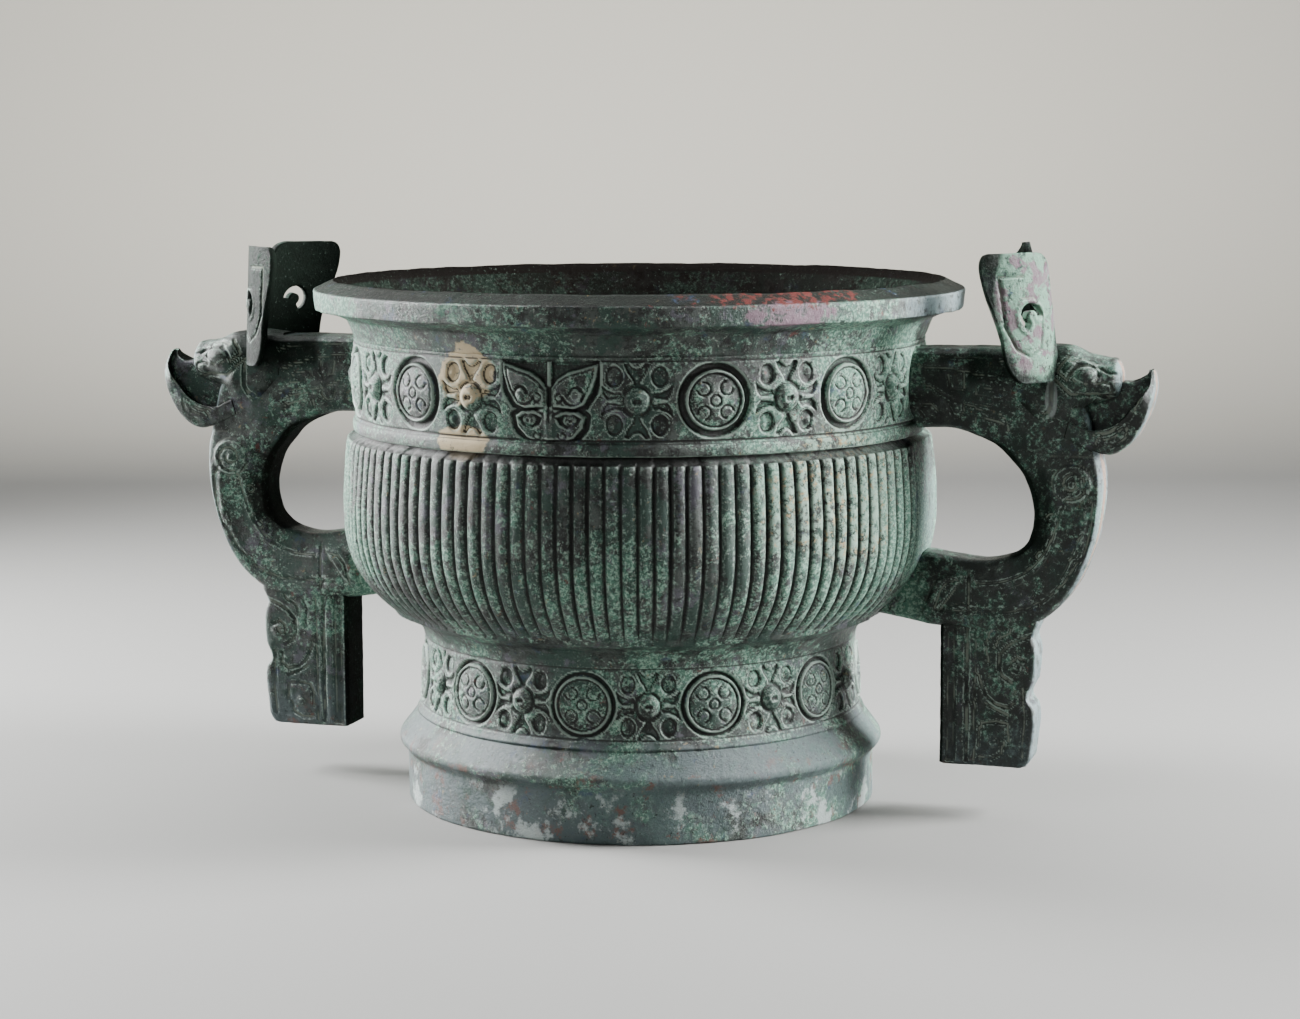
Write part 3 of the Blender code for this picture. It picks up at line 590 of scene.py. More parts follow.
ARM_LINES = [
    [(154.1, 174), (149.6, 176.1), (143, 178), (137.6, 179.1), (130.3, 180.4), (121.3, 180.6)],
    [(157.2, 163.8), (155.7, 164.8), (148.8, 165.5), (141.5, 165.7), (137.4, 166.3), (132.3, 167.7),
     (128.7, 169.8), (125, 172.3), (119, 174.5)],
    [(154.5, 156.4), (153.6, 160.1), (150.6, 163.2), (141.5, 164)],
    [(152.9, 158.9), (147, 160.1), (141.5, 160.9), (141.2, 158.4)],
    [(136.7, 166), (136.8, 163.2), (135, 161.3), (132.5, 161.3), (130.9, 164.7)],
    [(136.8, 178.1), (137, 172.7), (135.9, 171.5), (131.5, 172.1), (130.6, 177.4)],
    [(150.9, 168), (146.9, 169.1), (141.7, 169.9), (141.7, 173.6), (143.8, 173.6), (149.7, 171.7)],
    [(126.6, 163), (124, 165.6), (120.6, 166), (118.6, 163), (120.8, 160.6)],
    [(128, 185), (140, 184.6), (150, 184), (156, 182)],
]
SCROLL_MIDDLE = (180.0, 135.6)
BAR_LINES = [
    (0.7, 1.5, OUTER_LINE), (0.75, 1.5, BAND_TWO_LINE), (0.7, 1.4, WING_LINE),
    (0.8, 1.6, curl(SCROLL_MIDDLE, 250, 1.35, 6.2, 1.4)),
    (0.7, 1.5, [(184.2, 115.9), (182.7, 113.6), (183.1, 110.1), (181.6, 107.2), (179.4, 105.6)]),
    (0.6, 1.4, curl((171.4, 121.6), 60, 0.7, 2, 1)),
    (0.6, 1.4, curl((167.4, 106.4), 40, 0.7, 2, 1)),
    (0.7, 1.5, [(139.4, 98.4), (139.6, 79.8)]),
]


def bar_relief(spots, facing):
    """Incised feathers on the arm, two rounded bands and a scroll on the curve, a wing at its end."""
    u, z = np.abs(spots[:, 0]), spots[:, 2]
    side = ramp(0.45, 0.8, np.abs(facing[:, 1]))
    height = 2.2 * raised(OUTER_LINE + BAND_ONE_INNER, 3.2, u, z)
    height += 1.8 * raised(BAND_TWO, 3.0, u, z)
    height -= 1.3 * raised(CURVE_FIELD, 1.0, u, z)
    height += 1.0 * raised(WING, 1.6, u, z)
    scroll = 1.0 - ramp(6.8, 8.2, np.hypot(u - SCROLL_MIDDLE[0], z - SCROLL_MIDDLE[1]))
    height = np.maximum(height, 1.2 * scroll) + 0.7 * dome(SCROLL_MIDDLE, (1.9, 1.9), u, z)
    height -= incised(BAR_LINES, u, z) + incised([(0.55, 1.5, line) for line in ARM_LINES], u, z)
    crease = ramp(152.0, 150.0, z) * ramp(168.0, 172.0, u)
    height -= 0.5 * crease * (1.0 - ramp(0.2, 1.4, np.abs(z - 146.5)))
    back = 1.0 - side
    stripes = 1.0 - ramp(0.15, 0.8, np.abs(np.abs(spots[:, 1]) - 3.4))
    outer = ramp(0.3, 0.7, facing[:, 0] * np.sign(spots[:, 0]) * ramp(165.0, 175.0, u))
    return side * height - 0.5 * back * outer * stripes * ramp(150.0, 144.0, z)


def head_stations():
    """The beast's head from the arm to the snout: top, foot and width at each place."""
    crown, tip, length, tall = 190.0, 198.0, 42.0, 38.0
    shares = [(1.0, 0.024, 0.79, 0.86), (0.667, 0.0, 1.0, 1.0), (0.464, 0.021, 0.842, 1.0),
              (0.31, 0.097, 0.632, 0.95), (0.143, 0.134, 0.579, 0.78), (0.036, 0.171, 0.526, 0.66),
              (0, 0.255, 0.474, 0.5)]
    corners = [(0.0, 0.0), (0.0, 0.6), (0.38, 1.0), (0.8, 0.85), (1.0, 0.45), (1.0, 0.0)]
    stations = []
    for back, top, foot, width in shares:
        along = tip - length * back
        stations.append(flat_section((along, crown - tall * foot), (along, crown - tall * top),
                                     HEAD_HALF_WIDTH * width, corners))
    return stations


HEAD_LINES = [
    (0.9, 1.7, [(177.6, 185.8), (174.5, 182.2), (173.5, 179.9), (177.5, 177), (179.3, 180.3)]),
    (0.7, 1.5, [(178.6, 183.9), (183.1, 184.9), (188.2, 183.2)]),
    (0.8, 1.6, [(188.9, 181.8), (191.5, 180.9), (193.5, 179.7), (196, 179.4)]),
    (0.8, 1.5, [(189.1, 175.4), (191.6, 176.1), (194.2, 175.5), (194.9, 172.9), (193.6, 171),
                (191.1, 170.9)]),
    (1.1, 1.9, [(171, 178.2), (174.3, 175.7), (179.2, 171.3), (184, 170.7), (189.1, 170.9),
                (193.7, 169.4), (195.6, 169.1)]),
    (0.9, 1.7, [(189.2, 168.6), (184.7, 165.6), (183.2, 162), (184.3, 156.8), (186.9, 152.7)]),
    (1.2, 2.6, [(180.9, 165.5), (180, 161.2), (180.7, 156.4), (183.7, 151.6)]),
    (1.3, 2.4, [(171.5, 175.6), (171.4, 166.4), (170.2, 163.7), (167.6, 162.4)]),
    (0.8, 1.5, curl((171.7, 158), 20, 1.2, 3.6, 0.9)),
]


BROW = [(172.8, 178.6), (176.4, 185.6), (183, 186.6), (190.6, 182.6), (188, 175), (180, 173.4)]
EYE_SOCKET = [(177.6, 179), (181, 183.4), (187.6, 182.8), (190.6, 178.6), (185, 174.8)]
EYE_MIDDLE = (184.4, 178.9)
CHEEK = [(175, 173.6), (182, 168.6), (181.6, 160), (176, 156), (172, 162)]
NOSTRIL = [(190, 176.6), (195.4, 177), (196.4, 171.6), (190.4, 170.4)]


def head_relief(spots, facing):
    """Eyes, brows, nostrils, lips and cheeks."""
    u, z = np.abs(spots[:, 0]), spots[:, 2]
    side = ramp(0.3, 0.65, np.abs(facing[:, 1]))
    height = 1.0 * raised(BROW, 2.0, u, z)
    height -= 1.2 * raised(EYE_SOCKET, 1.0, u, z)
    height += 2.7 * dome(EYE_MIDDLE, (4.9, 3.3), u, z)
    height += 0.9 * raised(CHEEK, 3.0, u, z)
    height += 0.7 * raised(NOSTRIL, 1.6, u, z)
    return side * (height - incised(HEAD_LINES, u, z))


def jaw_stations():
    """The lower jaw, a scoop with a broad tongue, turned up in front of the snout."""
    shares = [((0.0, 0.17), (0.06, 0.4), (0.09, 0.62), 1.0),
              ((0.29, 0.05), (0.3, 0.295), (0.314, 0.62), 1),
              ((0.53, 0), (0.47, 0.33), (0.443, 0.72), 1),
              ((0.75, 0.14), (0.63, 0.42), (0.543, 0.827), 1),
              ((0.88, 0.345), (0.75, 0.565), (0.643, 0.855), 1),
              ((0.965, 0.6), (0.87, 0.72), (0.757, 0.867), 1),
              ((1, 0.79), (0.94, 0.83), (0.857, 0.92), 0.74),
              ((0.99, 0.92), (0.945, 0.93), (0.9, 0.965), 0.48),
              ((0.97, 1), (0.935, 1), (0.905, 1), 0.24)]
    corner, span = Vector((176.0, 147.4)), Vector((35.0, 33.4))
    stations = []
    for keel, lip, tip, width in shares:
        keel, lip, tip = (corner + Vector(share) * span for share in (keel, lip, tip))
        half = JAW_HALF_WIDTH * width
        floor = keel + (lip - keel).normalized() * min(JAW_WALL, 0.5 * (lip - keel).length)
        inner = half - JAW_WALL
        tongue = min(5.5, 0.6 * inner)
        side = [(keel, 0.88 * half), (lip, half), (lip, inner), (floor, inner), (floor, tongue),
                (tip, tongue)]
        ring = [(point.x, across, point.y) for point, across in side]
        stations.append(ring + [(x, -y, z) for x, y, z in reversed(ring)])
    return stations


JAW_LINES = [
    (0.6, 1.4, [(188.9, 151.7), (189.5, 154), (191.4, 155.4), (197.1, 157.2), (201.2, 158.6),
                (200.3, 154.7), (194, 150.3)]),
    (0.6, 1.4, [(188.1, 155.4), (195.5, 158.2), (200.6, 161.4), (203.6, 165.4), (205.8, 170.3)]),
    (0.5, 1.3, [(191.6, 153.2), (197.2, 155.4)]),
]


def jaw_relief(spots, facing):
    """Incised edges on the jaw's sides."""
    u, z = np.abs(spots[:, 0]), spots[:, 2]
    side = ramp(0.3, 0.65, np.abs(facing[:, 1])) * ramp(10.0, 11.5, np.abs(spots[:, 1]))
    return -side * incised(JAW_LINES, u, z)


def pendant_stations():
    """The hanging slab, notched along its outer edge."""
    wide, tall = PENDANT_OUTER - PENDANT_INNER, LOW_ARM_FOOT - PENDANT_FOOT
    edge = [(0.0, 0.93), (0.02, 0.955), (0.06, 1.0), (0.318, 1.043), (0.4, 1.04), (0.442, 1.02),
            (0.48, 0.965), (0.504, 0.957), (0.54, 0.97), (0.62, 1.025), (0.689, 1.037), (0.813, 1.048),
            (0.88, 1.03), (0.919, 1), (0.96, 1.01), (1.03, 1.06), (1.106, 1.064)]
    corners = [(0.0, 0.0), (0.0, 0.86), (0.035, 1.0), (0.5, 1.0), (0.965, 1.0), (1.0, 0.86), (1.0, 0.0)]
    stations = []
    for rise in np.linspace(0.0, 1.106, 44):
        reach = float(np.interp(rise, [up for up, _ in edge], [across for _, across in edge]))
        height = PENDANT_FOOT + tall * rise
        stations.append(flat_section((PENDANT_INNER, height), (PENDANT_INNER + wide * reach, height),
                                     PENDANT_HALF_WIDTH, corners))
    return stations


PENDANT_LINES = [
    (1.1, 1.9, [(165.3, 74.5), (159.8, 72.6), (155.3, 69.8), (152.1, 66.1), (151.8, 60.9), (153.2, 57.4),
                (157, 55.1)]),
    (0.9, 1.6, [(162.3, 63.9), (159.1, 65.3), (156.8, 63.3), (156.9, 60.3), (159.2, 59.7), (159.8, 61.8)]),
    (0.9, 1.6, [(158.4, 51.5), (158.5, 47.2), (155.8, 44.8), (150.7, 45.9), (147, 49.1), (145.1, 53.5),
                (143.6, 57.9)]),
    (0.8, 1.5, [(156.9, 78.8), (156.1, 74.9), (151.5, 72.6), (150.2, 68.8)]),
    (0.8, 1.5, [(148.7, 76.1), (146.5, 70.7), (147.6, 63.3)]),
    (0.7, 1.4, [(142.4, 75.6), (142.1, 22.8)]),
    (1.2, 1.8, [(139, 76.4), (139, 22.6)]),
    (0.9, 1.7, [(156.1, 31.3), (155.5, 38.3), (150.9, 39), (145.4, 38), (143.9, 34.2), (143.9, 29)]),
    (0.8, 1.5, [(154.3, 30.5), (153, 25.8), (149.4, 23.9), (144.3, 24.2)]),
    (0.8, 1.6, [(155.9, 41.7), (151.2, 43.7), (147, 46.1)]),
    (0.7, 1.4, [(161.6, 52.6), (161.8, 46), (162.2, 36), (161.6, 25)]),
]


def pendant_relief(spots, facing):
    """Scrolls, long straight lines and a sunk channel on the pendant's faces."""
    u, z = np.abs(spots[:, 0]), spots[:, 2]
    height = -1.1 * ramp(130.0, 130.9, u) * (1.0 - ramp(133.9, 134.9, u)) * ramp(21.6, 22.4, z)
    height -= incised(PENDANT_LINES, u, z)
    height += 0.8 * dome((149.8, 30.6), (2.0, 2.0), u, z)
    height += 0.6 * dome((159.6, 60.6), (3.4, 3.4), u, z)
    return height * ramp(0.45, 0.8, np.abs(facing[:, 1]))


def comma_slot(middle, outer, inner, start, end):
    """A C-shaped slot about a middle, from one angle to another."""
    angles = np.radians(np.linspace(start, end, 14))
    ring = [(middle[0] + outer * math.cos(angle), middle[1] + outer * math.sin(angle)) for angle in angles]
    return ring + [(middle[0] + inner * math.cos(angle), middle[1] + inner * math.sin(angle))
                   for angle in angles[::-1]]


EAR_HOLE = comma_slot((13.2, 25.6), 5.6, 2.5, -60.0, 175.0)
EAR_BORDER = [(15.6, 41.6), (26.2, 41.6), (25.8, 22), (22, 13.6), (16, 10.6), (9.6, 13.8),
              (7.2, 22)]
EAR_HOOK = [(7.2, 22), (7, 28.4), (10.6, 33), (17, 33.2)]


def ear(name, side, yaw_degrees, lean, slope, turned):
    """A tall pierced ear plate, bulging outwards, with a comma-shaped hole."""
    columns, rows = 46, 72
    tall, yaw = EAR_TOP - EAR_FOOT, math.radians(yaw_degrees)
    run = np.array((-math.cos(yaw), side * math.sin(yaw)))
    out = np.array((math.sin(yaw), side * math.cos(yaw)))
    bm = bmesh.new()
    bmesh.ops.create_grid(bm, x_segments=columns, y_segments=rows, size=1.0)
    plan = {}
    for vert in bm.verts:
        across, up = 0.5 * (vert.co.x + 1.0), 0.5 * (vert.co.y + 1.0)
        top = max(up - 0.88, 0.0) / 0.12
        bottom = max(0.26 - up, 0.0) / 0.26
        round_top, round_foot = 1.0 - math.sqrt(1.0 - top * top), 1.0 - math.sqrt(1.0 - bottom * bottom)
        start = 0.24 * round_top + 0.26 * round_foot
        end = 1.0 - 0.12 * round_top - 0.4 * round_foot - 0.16 * ramp(0.86, 0.26, up) * (1.0 - round_foot)
        plan[vert] = [(start + (end - start) * across) * EAR_WIDTH, up * tall]
    flat = np.array([plan[vert] for vert in bm.verts])
    depth = depth_in(EAR_HOLE, flat[:, 0], flat[:, 1])
    for vert, inner in zip(bm.verts, depth):
        vert.tag = bool(inner > 0.0)
    bmesh.ops.delete(bm, geom=[vert for vert in bm.verts if vert.tag], context="VERTS")
    rim = EAR_HOLE + [EAR_HOLE[0]]
    places = [onto(rim, plan[vert]) if vert.is_boundary and 3.0 < plan[vert][0] < 24.0
              and 15.0 < plan[vert][1] < 36.0 else plan[vert] for vert in bm.verts]
    for vert, (across, up) in zip(bm.verts, places):
        share = across / EAR_WIDTH
        height = EAR_FOOT + up
        front = np.array((EAR_ROOT[0] - lean * up, side * EAR_ROOT[1]))
        bulge = EAR_BULGE * (1.0 - (2.0 * share - 1.0) ** 2) - 0.5 * EAR_THICKNESS
        point = front + run * across + out * bulge
        leaning = slope * (0.5 - share) * ramp(0.3, 0.9, up / tall)
        vert.co = (point[0] * MM, point[1] * MM, (height + leaning) * MM)
    bmesh.ops.recalc_face_normals(bm, faces=bm.faces)
    bmesh.ops.solidify(bm, geom=bm.faces[:], thickness=EAR_THICKNESS * MM)
    if turned:
        for vert in bm.verts:
            vert.co.x, vert.co.y = -vert.co.x, -vert.co.y

    def ear_relief(spots, facing):
        """A line along the ear's edge with a hook towards the hole."""
        flip = -1.0 if turned else 1.0
        x, y = flip * spots[:, 0], flip * spots[:, 1]
        up = spots[:, 2] - EAR_FOOT
        across = (x - EAR_ROOT[0] + lean * up) * run[0] + (y - side * EAR_ROOT[1]) * run[1]
        outer = ramp(0.2, 0.6, flip * (facing[:, 0] * out[0] + facing[:, 1] * out[1]))
        height = -0.8 * stroke(EAR_BORDER, 1.6, across, up) - 0.7 * stroke(EAR_HOOK, 1.5, across, up)
        edge = np.abs(depth_in(EAR_HOLE, across, up) + 1.3)
        height += 0.5 * (1.0 - ramp(0.3, 1.3, edge))
        return height * outer

    return finish_piece(name, bm, ear_relief)


def handle(side_name, turned, front_lean, back_yaw, back_lean, back_slope):
    """One handle: bar, head, jaw, pendant and two ears. Yaws in degrees, leans as shares of the height."""
    skin(side_name + "_handle", bar_stations(), HANDLE_NETS["handle"], bar_relief, turned, cut=0.12)
    skin(side_name + "_head", head_stations(), HANDLE_NETS["head"], head_relief, turned, cut=0.16,
         ends=(1.0, 0.82))
    skin(side_name + "_jaw", jaw_stations(), HANDLE_NETS["jaw"], jaw_relief, turned, cut=0.08,
         ends=(1.0, 0.8))
    skin(side_name + "_pendant", pendant_stations(), HANDLE_NETS["pendant"], pendant_relief, turned,
         cut=0.1, ends=(0.94, 1.0))
    front = 1 if turned else -1
    ear(side_name + "_front_ear", front, STRAIGHT_EAR, front_lean, 0.0, turned)
    ear(side_name + "_back_ear", -front, back_yaw, back_lean, back_slope, turned)


# Finish.

class Patina:
    """A bronze-coloured node tree, with words for the layers of corrosion and of painted shade."""

    def __init__(self, name, metal):
        self.material = bpy.data.materials.new(name)
        self.material.use_nodes = True
        self.tree = self.material.node_tree
        self.shader = self.tree.nodes["Principled BSDF"]
        self.place = self.tree.nodes.new("ShaderNodeTexCoord").outputs["Object"]
        self.colour = (*metal, 1.0)

    def put(self, socket, value):
        if isinstance(value, bpy.types.NodeSocket):
            self.tree.links.new(value, socket)
        else:
            socket.default_value = value

    def cloud(self, grain_mm, detail=4.0, rough=0.6, shift=0.0):
        """Smooth noise with a given grain, about 0.5 in the middle."""
        spread = self.tree.nodes.new("ShaderNodeMapping")
        spread.inputs["Location"].default_value = (shift, 0.7 * shift, -shift)
        self.put(spread.inputs["Vector"], self.place)
        noise = self.tree.nodes.new("ShaderNodeTexNoise")
        noise.inputs["Scale"].default_value = 1.0 / (grain_mm * MM)
        noise.inputs["Detail"].default_value = detail
        noise.inputs["Roughness"].default_value = rough
        self.put(noise.inputs["Vector"], spread.outputs["Vector"])
        return noise.outputs["Fac"]

    def maths(self, operation, first, second=0.5):
        node = self.tree.nodes.new("ShaderNodeMath")
        node.operation = operation
        self.put(node.inputs[0], first)
        self.put(node.inputs[1], second)
        return node.outputs["Value"]

    def times(self, first, second):
        return self.maths("MULTIPLY", first, second)

    def plus(self, first, second):
        return self.maths("ADD", first, second)

    def larger(self, first, second):
        return self.maths("MAXIMUM", first, second)

    def patches(self, grain_mm, detail, rough, shift, low, high, most=1.0):
        """Ragged patches, where smooth noise runs above a level."""
        return self.above(self.cloud(grain_mm, detail, rough, shift), low, high, most)

    def above(self, value, low, high, most=1.0):
        """0 below low and most above high."""
        node = self.tree.nodes.new("ShaderNodeMapRange")
        node.interpolation_type = "SMOOTHSTEP"
        self.put(node.inputs["Value"], value)
        node.inputs["From Min"].default_value = low
        node.inputs["From Max"].default_value = high
        node.inputs["To Min"].default_value = 0.0
        node.inputs["To Max"].default_value = most
        return node.outputs["Result"]

    def lay(self, colour, share, most=1.0):
        """Lays a colour over what is there, as far as most where share is 1."""
        node = self.tree.nodes.new("ShaderNodeMix")
        node.data_type = "RGBA"
        self.put(node.inputs[0], self.times(share, most))
        self.put(node.inputs[6], self.colour)
        self.put(node.inputs[7], (*colour, 1.0))
        self.colour = node.outputs[2]

    def without(self, value, taken):
        """A value where another is 0, and 0 where it is 1."""
        return self.times(value, self.maths("SUBTRACT", 1.0, taken))

    def noted(self, name):
        node = self.tree.nodes.new("ShaderNodeAttribute")
        node.attribute_name = name
        return node.outputs["Fac"]

    def axis(self, index):
        node = self.tree.nodes.new("ShaderNodeSeparateXYZ")
        self.put(node.inputs["Vector"], self.place)
        return node.outputs[index]

    def zone(self, middle_mm, radii_mm, ragged=0.5, grain_mm=14.0, soft=0.2):
        """1 inside a ragged patch of the surface round a middle."""
        fit = self.tree.nodes.new("ShaderNodeMapping")
        fit.vector_type = "TEXTURE"
        fit.inputs["Location"].default_value = [MM * value for value in middle_mm]
        fit.inputs["Scale"].default_value = [MM * value for value in radii_mm]
        self.put(fit.inputs["Vector"], self.place)
        length = self.tree.nodes.new("ShaderNodeVectorMath")
        length.operation = "LENGTH"
        self.put(length.inputs[0], fit.outputs["Vector"])
        wobble = self.times(self.maths("SUBTRACT", self.cloud(grain_mm, 5.0, 0.65), 0.5), 2.0 * ragged)
        reach = self.maths("ADD", length.outputs["Value"], wobble)
        return self.maths("SUBTRACT", 1.0, self.above(reach, 1.0 - soft, 1.0 + soft))


def on_bowl(azimuth, height, radius=118.0):
    """A place on the bowl's outside, from its degrees round from the front."""
    return (radius * math.sin(math.radians(azimuth)), -radius * math.cos(math.radians(azimuth)), height)


def bronze():
    """Dark grey-green bronze under malachite, azurite, cuprite and earth, with painted shade on the handles
    and ears.
    """
    patina = Patina("patinated bronze", (0.006, 0.008, 0.007))
    wear, carving, turned_out = patina.noted("wear"), patina.noted("carving"), patina.noted("turned_out")
    fine = patina.cloud(1.3, 6.0, 0.72)
    middle = patina.cloud(3.6, 8.0, 0.75)
    broad = patina.cloud(34.0, 5.0, 0.6)
    mottled = patina.above(middle, 0.4, 0.5)
    right, forward, up = (patina.axis(index) for index in range(3))
    reach = patina.maths("ABSOLUTE", right)
    patina.lay((0.05, 0.062, 0.055), patina.patches(7.0, 8.0, 0.75, 1.0, 0.43, 0.57))
    patina.lay((0.016, 0.045, 0.033), patina.patches(19.0, 7.0, 0.7, 3.0, 0.48, 0.55, 0.85))
    patina.lay((0.085, 0.082, 0.105), patina.patches(15.0, 8.0, 0.75, 9.0, 0.56, 0.62, 0.75))
    flank = patina.times(patina.above(reach, 0.06, 0.11), patina.above(reach, 0.128, 0.12))
    share = patina.plus(patina.times(broad, 0.5), patina.times(middle, 0.6))
    share = patina.plus(share, patina.times(flank, 0.07))
    mint = patina.above(share, 0.575, 0.64, 0.9)
    patina.lay((0.062, 0.155, 0.112), mint)
    pale = patina.times(patina.above(share, 0.54, 0.62), patina.above(fine, 0.49, 0.57))
    patina.lay((0.25, 0.4, 0.31), pale, 0.85)
    fleck = patina.times(patina.patches(1.1, 5.0, 0.7, 29.0, 0.58, 0.64), patina.above(share, 0.48, 0.58))
    patina.lay((0.36, 0.43, 0.36), fleck, 0.7)
    slate = patina.patches(24.0, 6.0, 0.65, 43.0, 0.4, 0.52, 0.85)
    patina.lay((0.062, 0.088, 0.092), patina.times(patina.above(up, 0.045, 0.034), slate))
    smudge = patina.patches(9.0, 7.0, 0.7, 47.0, 0.56, 0.64, 0.8)
    patina.lay((0.12, 0.055, 0.042), patina.times(patina.above(up, 0.036, 0.024), smudge))
    bevel = patina.times(patina.above(up, 0.2098, 0.2106), patina.above(reach, 0.14, 0.136))
    soot = patina.times(bevel, patina.above(fine, 0.72, 0.6))
    patina.lay((0.01, 0.012, 0.01), soot, 0.95)
    pit = patina.patches(1.5, 5.0, 0.7, 31.0, 0.4, 0.34)
    patina.lay((0.005, 0.006, 0.005), pit, 0.9)
    azure = patina.patches(12.0, 7.0, 0.72, 7.0, 0.6, 0.68, 0.75)
    patina.lay((0.03, 0.05, 0.095), azure)
    ochre = patina.patches(4.4, 5.0, 0.7, 11.0, 0.65, 0.71, 0.7)
    patina.lay((0.24, 0.19, 0.1), ochre)
    red = patina.patches(6.0, 6.0, 0.7, 17.0, 0.64, 0.7, 0.85)
    patina.lay((0.1, 0.032, 0.026), red)
    crust = patina.zone(on_bowl(55.0, 135.0), (38.0, 38.0, 24.0), 0.75, 18.0)
    scab = patina.times(crust, patina.above(middle, 0.44, 0.56))
    patina.lay((0.24, 0.35, 0.28), scab, 0.85)
    grit = patina.times(crust, patina.patches(2.4, 5.0, 0.7, 5.0, 0.55, 0.62))
    patina.lay((0.34, 0.26, 0.14), grit)
    bare = patina.zone(on_bowl(-17.5, 182.0, 117.0), (12.5, 12.0, 11.5), 0.5, 9.0, 0.06)
    lower = patina.zone(on_bowl(-18.5, 157.0, 117.0), (12.0, 12.0, 6.5), 0.4, 9.0, 0.06)
    bare = patina.times(patina.larger(bare, lower), patina.above(middle, 0.36, 0.42))
    bare = patina.times(bare, patina.above(turned_out, -0.05, 0.1))
    patina.lay((0.5, 0.41, 0.26), bare, 0.92)
    lilac = patina.zone(on_bowl(42.0, 206.0, 132.0), (20.0, 15.0, 5.0), 0.9, 7.0, 0.1)
    patina.lay((0.17, 0.11, 0.14), patina.times(lilac, mottled))
    rust = patina.zone(on_bowl(40.0, 213.0, 124.0), (34.0, 30.0, 5.0), 0.9, 10.0, 0.1)
    patina.lay((0.11, 0.03, 0.026), patina.times(rust, patina.above(middle, 0.48, 0.56)))
    chalk = patina.times(patina.above(up, 0.024, 0.016), patina.patches(17.0, 8.0, 0.7, 23.0, 0.53, 0.6))
    patina.lay((0.33, 0.38, 0.37), chalk, 0.85)
    inside = patina.above(turned_out, -0.1, -0.35)
    patina.lay((0.006, 0.005, 0.0045), inside, 0.93)
    ears = patina.times(patina.above(up, 0.172, 0.178), patina.above(reach, 0.18, 0.176))
    ears = patina.times(ears, patina.above(reach, 0.136, 0.14))
    outer_face = patina.without(patina.above(turned_out, 0.55, 0.85), ears)
    handles = patina.above(reach, 0.118, 0.124)
    # Painted shade: the handles are darkened except on faces turned outwards, the right handle much more
    # than the left, and every ear but the near right one is darkened too.
    right_handle_painted_shade = patina.above(right, 0.114, 0.124, 0.8)
    shaded = patina.above(right, -0.114, -0.124, 0.14)
    painted_handle_shade = patina.times(patina.plus(right_handle_painted_shade, shaded), patina.above(middle, 0.66, 0.46))
    painted_handle_shade = patina.larger(painted_handle_shade, patina.times(ears, 0.85))
    painted_handle_shade = patina.without(painted_handle_shade, outer_face)
    near_ear = patina.zone((165.0, -22.0, 208.0), (20.0, 14.0, 30.0), 0.1, 9.0, 0.08)
    painted_handle_shade = patina.without(painted_handle_shade, near_ear)
    # Lays the painted shade on the handles and ears in near-black.
    patina.lay((0.006, 0.009, 0.007), painted_handle_shade)
    bloom = patina.times(outer_face, patina.times(handles, patina.above(middle, 0.4, 0.52)))
    patina.lay((0.13, 0.18, 0.19), bloom, 0.8)
    strip = patina.above(patina.maths("ABSOLUTE", forward), 0.0036, 0.003)
    pink = patina.times(patina.times(outer_face, strip), patina.above(reach, 0.168, 0.176))
    patina.lay((0.22, 0.14, 0.1), patina.times(pink, mottled))
    cheek = patina.zone((171.6, -14.0, 169.5), (2.4, 7.0, 7.5), 0.1, 9.0, 0.1)
    patina.lay((0.21, 0.23, 0.23), cheek, 0.8)
    leaf = patina.times(near_ear, mottled)
    patina.lay((0.13, 0.23, 0.17), leaf, 0.85)
    purple = patina.times(near_ear, patina.patches(9.0, 5.0, 0.65, 41.0, 0.5, 0.56))
    patina.lay((0.12, 0.07, 0.095), purple, 0.8)
    exposed = patina.plus(wear, patina.times(patina.maths("SUBTRACT", fine, 0.5), 0.9))
    worn = patina.above(exposed, 0.09, 0.3)
    patina.lay((0.27, 0.35, 0.3), worn, 0.7)
    dirt = patina.above(wear, -0.03, -0.26)
    sunk = patina.above(carving, -0.25, -1.2)
    dark = patina.larger(dirt, patina.times(sunk, 0.85))
    plain = patina.maths("SUBTRACT", 1.0, patina.times(handles, 0.6))
    patina.lay((0.006, 0.006, 0.005), patina.times(patina.times(dark, 0.93), plain))
    filled = patina.times(patina.times(dirt, handles), patina.patches(9.0, 5.0, 0.6, 37.0, 0.42, 0.55))
    patina.lay((0.17, 0.2, 0.16), filled, 0.75)
    patina.put(patina.shader.inputs["Base Color"], patina.colour)
    chalky = patina.larger(mint, patina.larger(crust, bare))
    rough = patina.plus(0.38, patina.times(chalky, 0.3))
    rough = patina.plus(rough, patina.times(patina.above(fine, 0.3, 0.7), 0.2))
    patina.put(patina.shader.inputs["Roughness"], rough)
    patina.shader.inputs["Metallic"].default_value = 0.1
    dull = patina.times(patina.larger(ears, bevel), -0.85)
    gloss = patina.times(patina.above(turned_out, -0.35, 0.0, 0.42), patina.plus(1.0, dull))
    patina.put(patina.shader.inputs["Specular IOR Level"], gloss)
    skin_height = patina.plus(patina.times(fine, 0.6), patina.times(middle, 0.9))
    skin_height = patina.plus(skin_height, patina.times(scab, 0.8))
    bump = patina.tree.nodes.new("ShaderNodeBump")
    bump.inputs["Strength"].default_value = 0.6
    bump.inputs["Distance"].default_value = 0.0012
    patina.put(bump.inputs["Height"], skin_height)
    patina.put(patina.shader.inputs["Normal"], bump.outputs["Normal"])
    return patina.material


# Studio.

VESSEL_MIDDLE = (0.0, 0.0, 0.12)


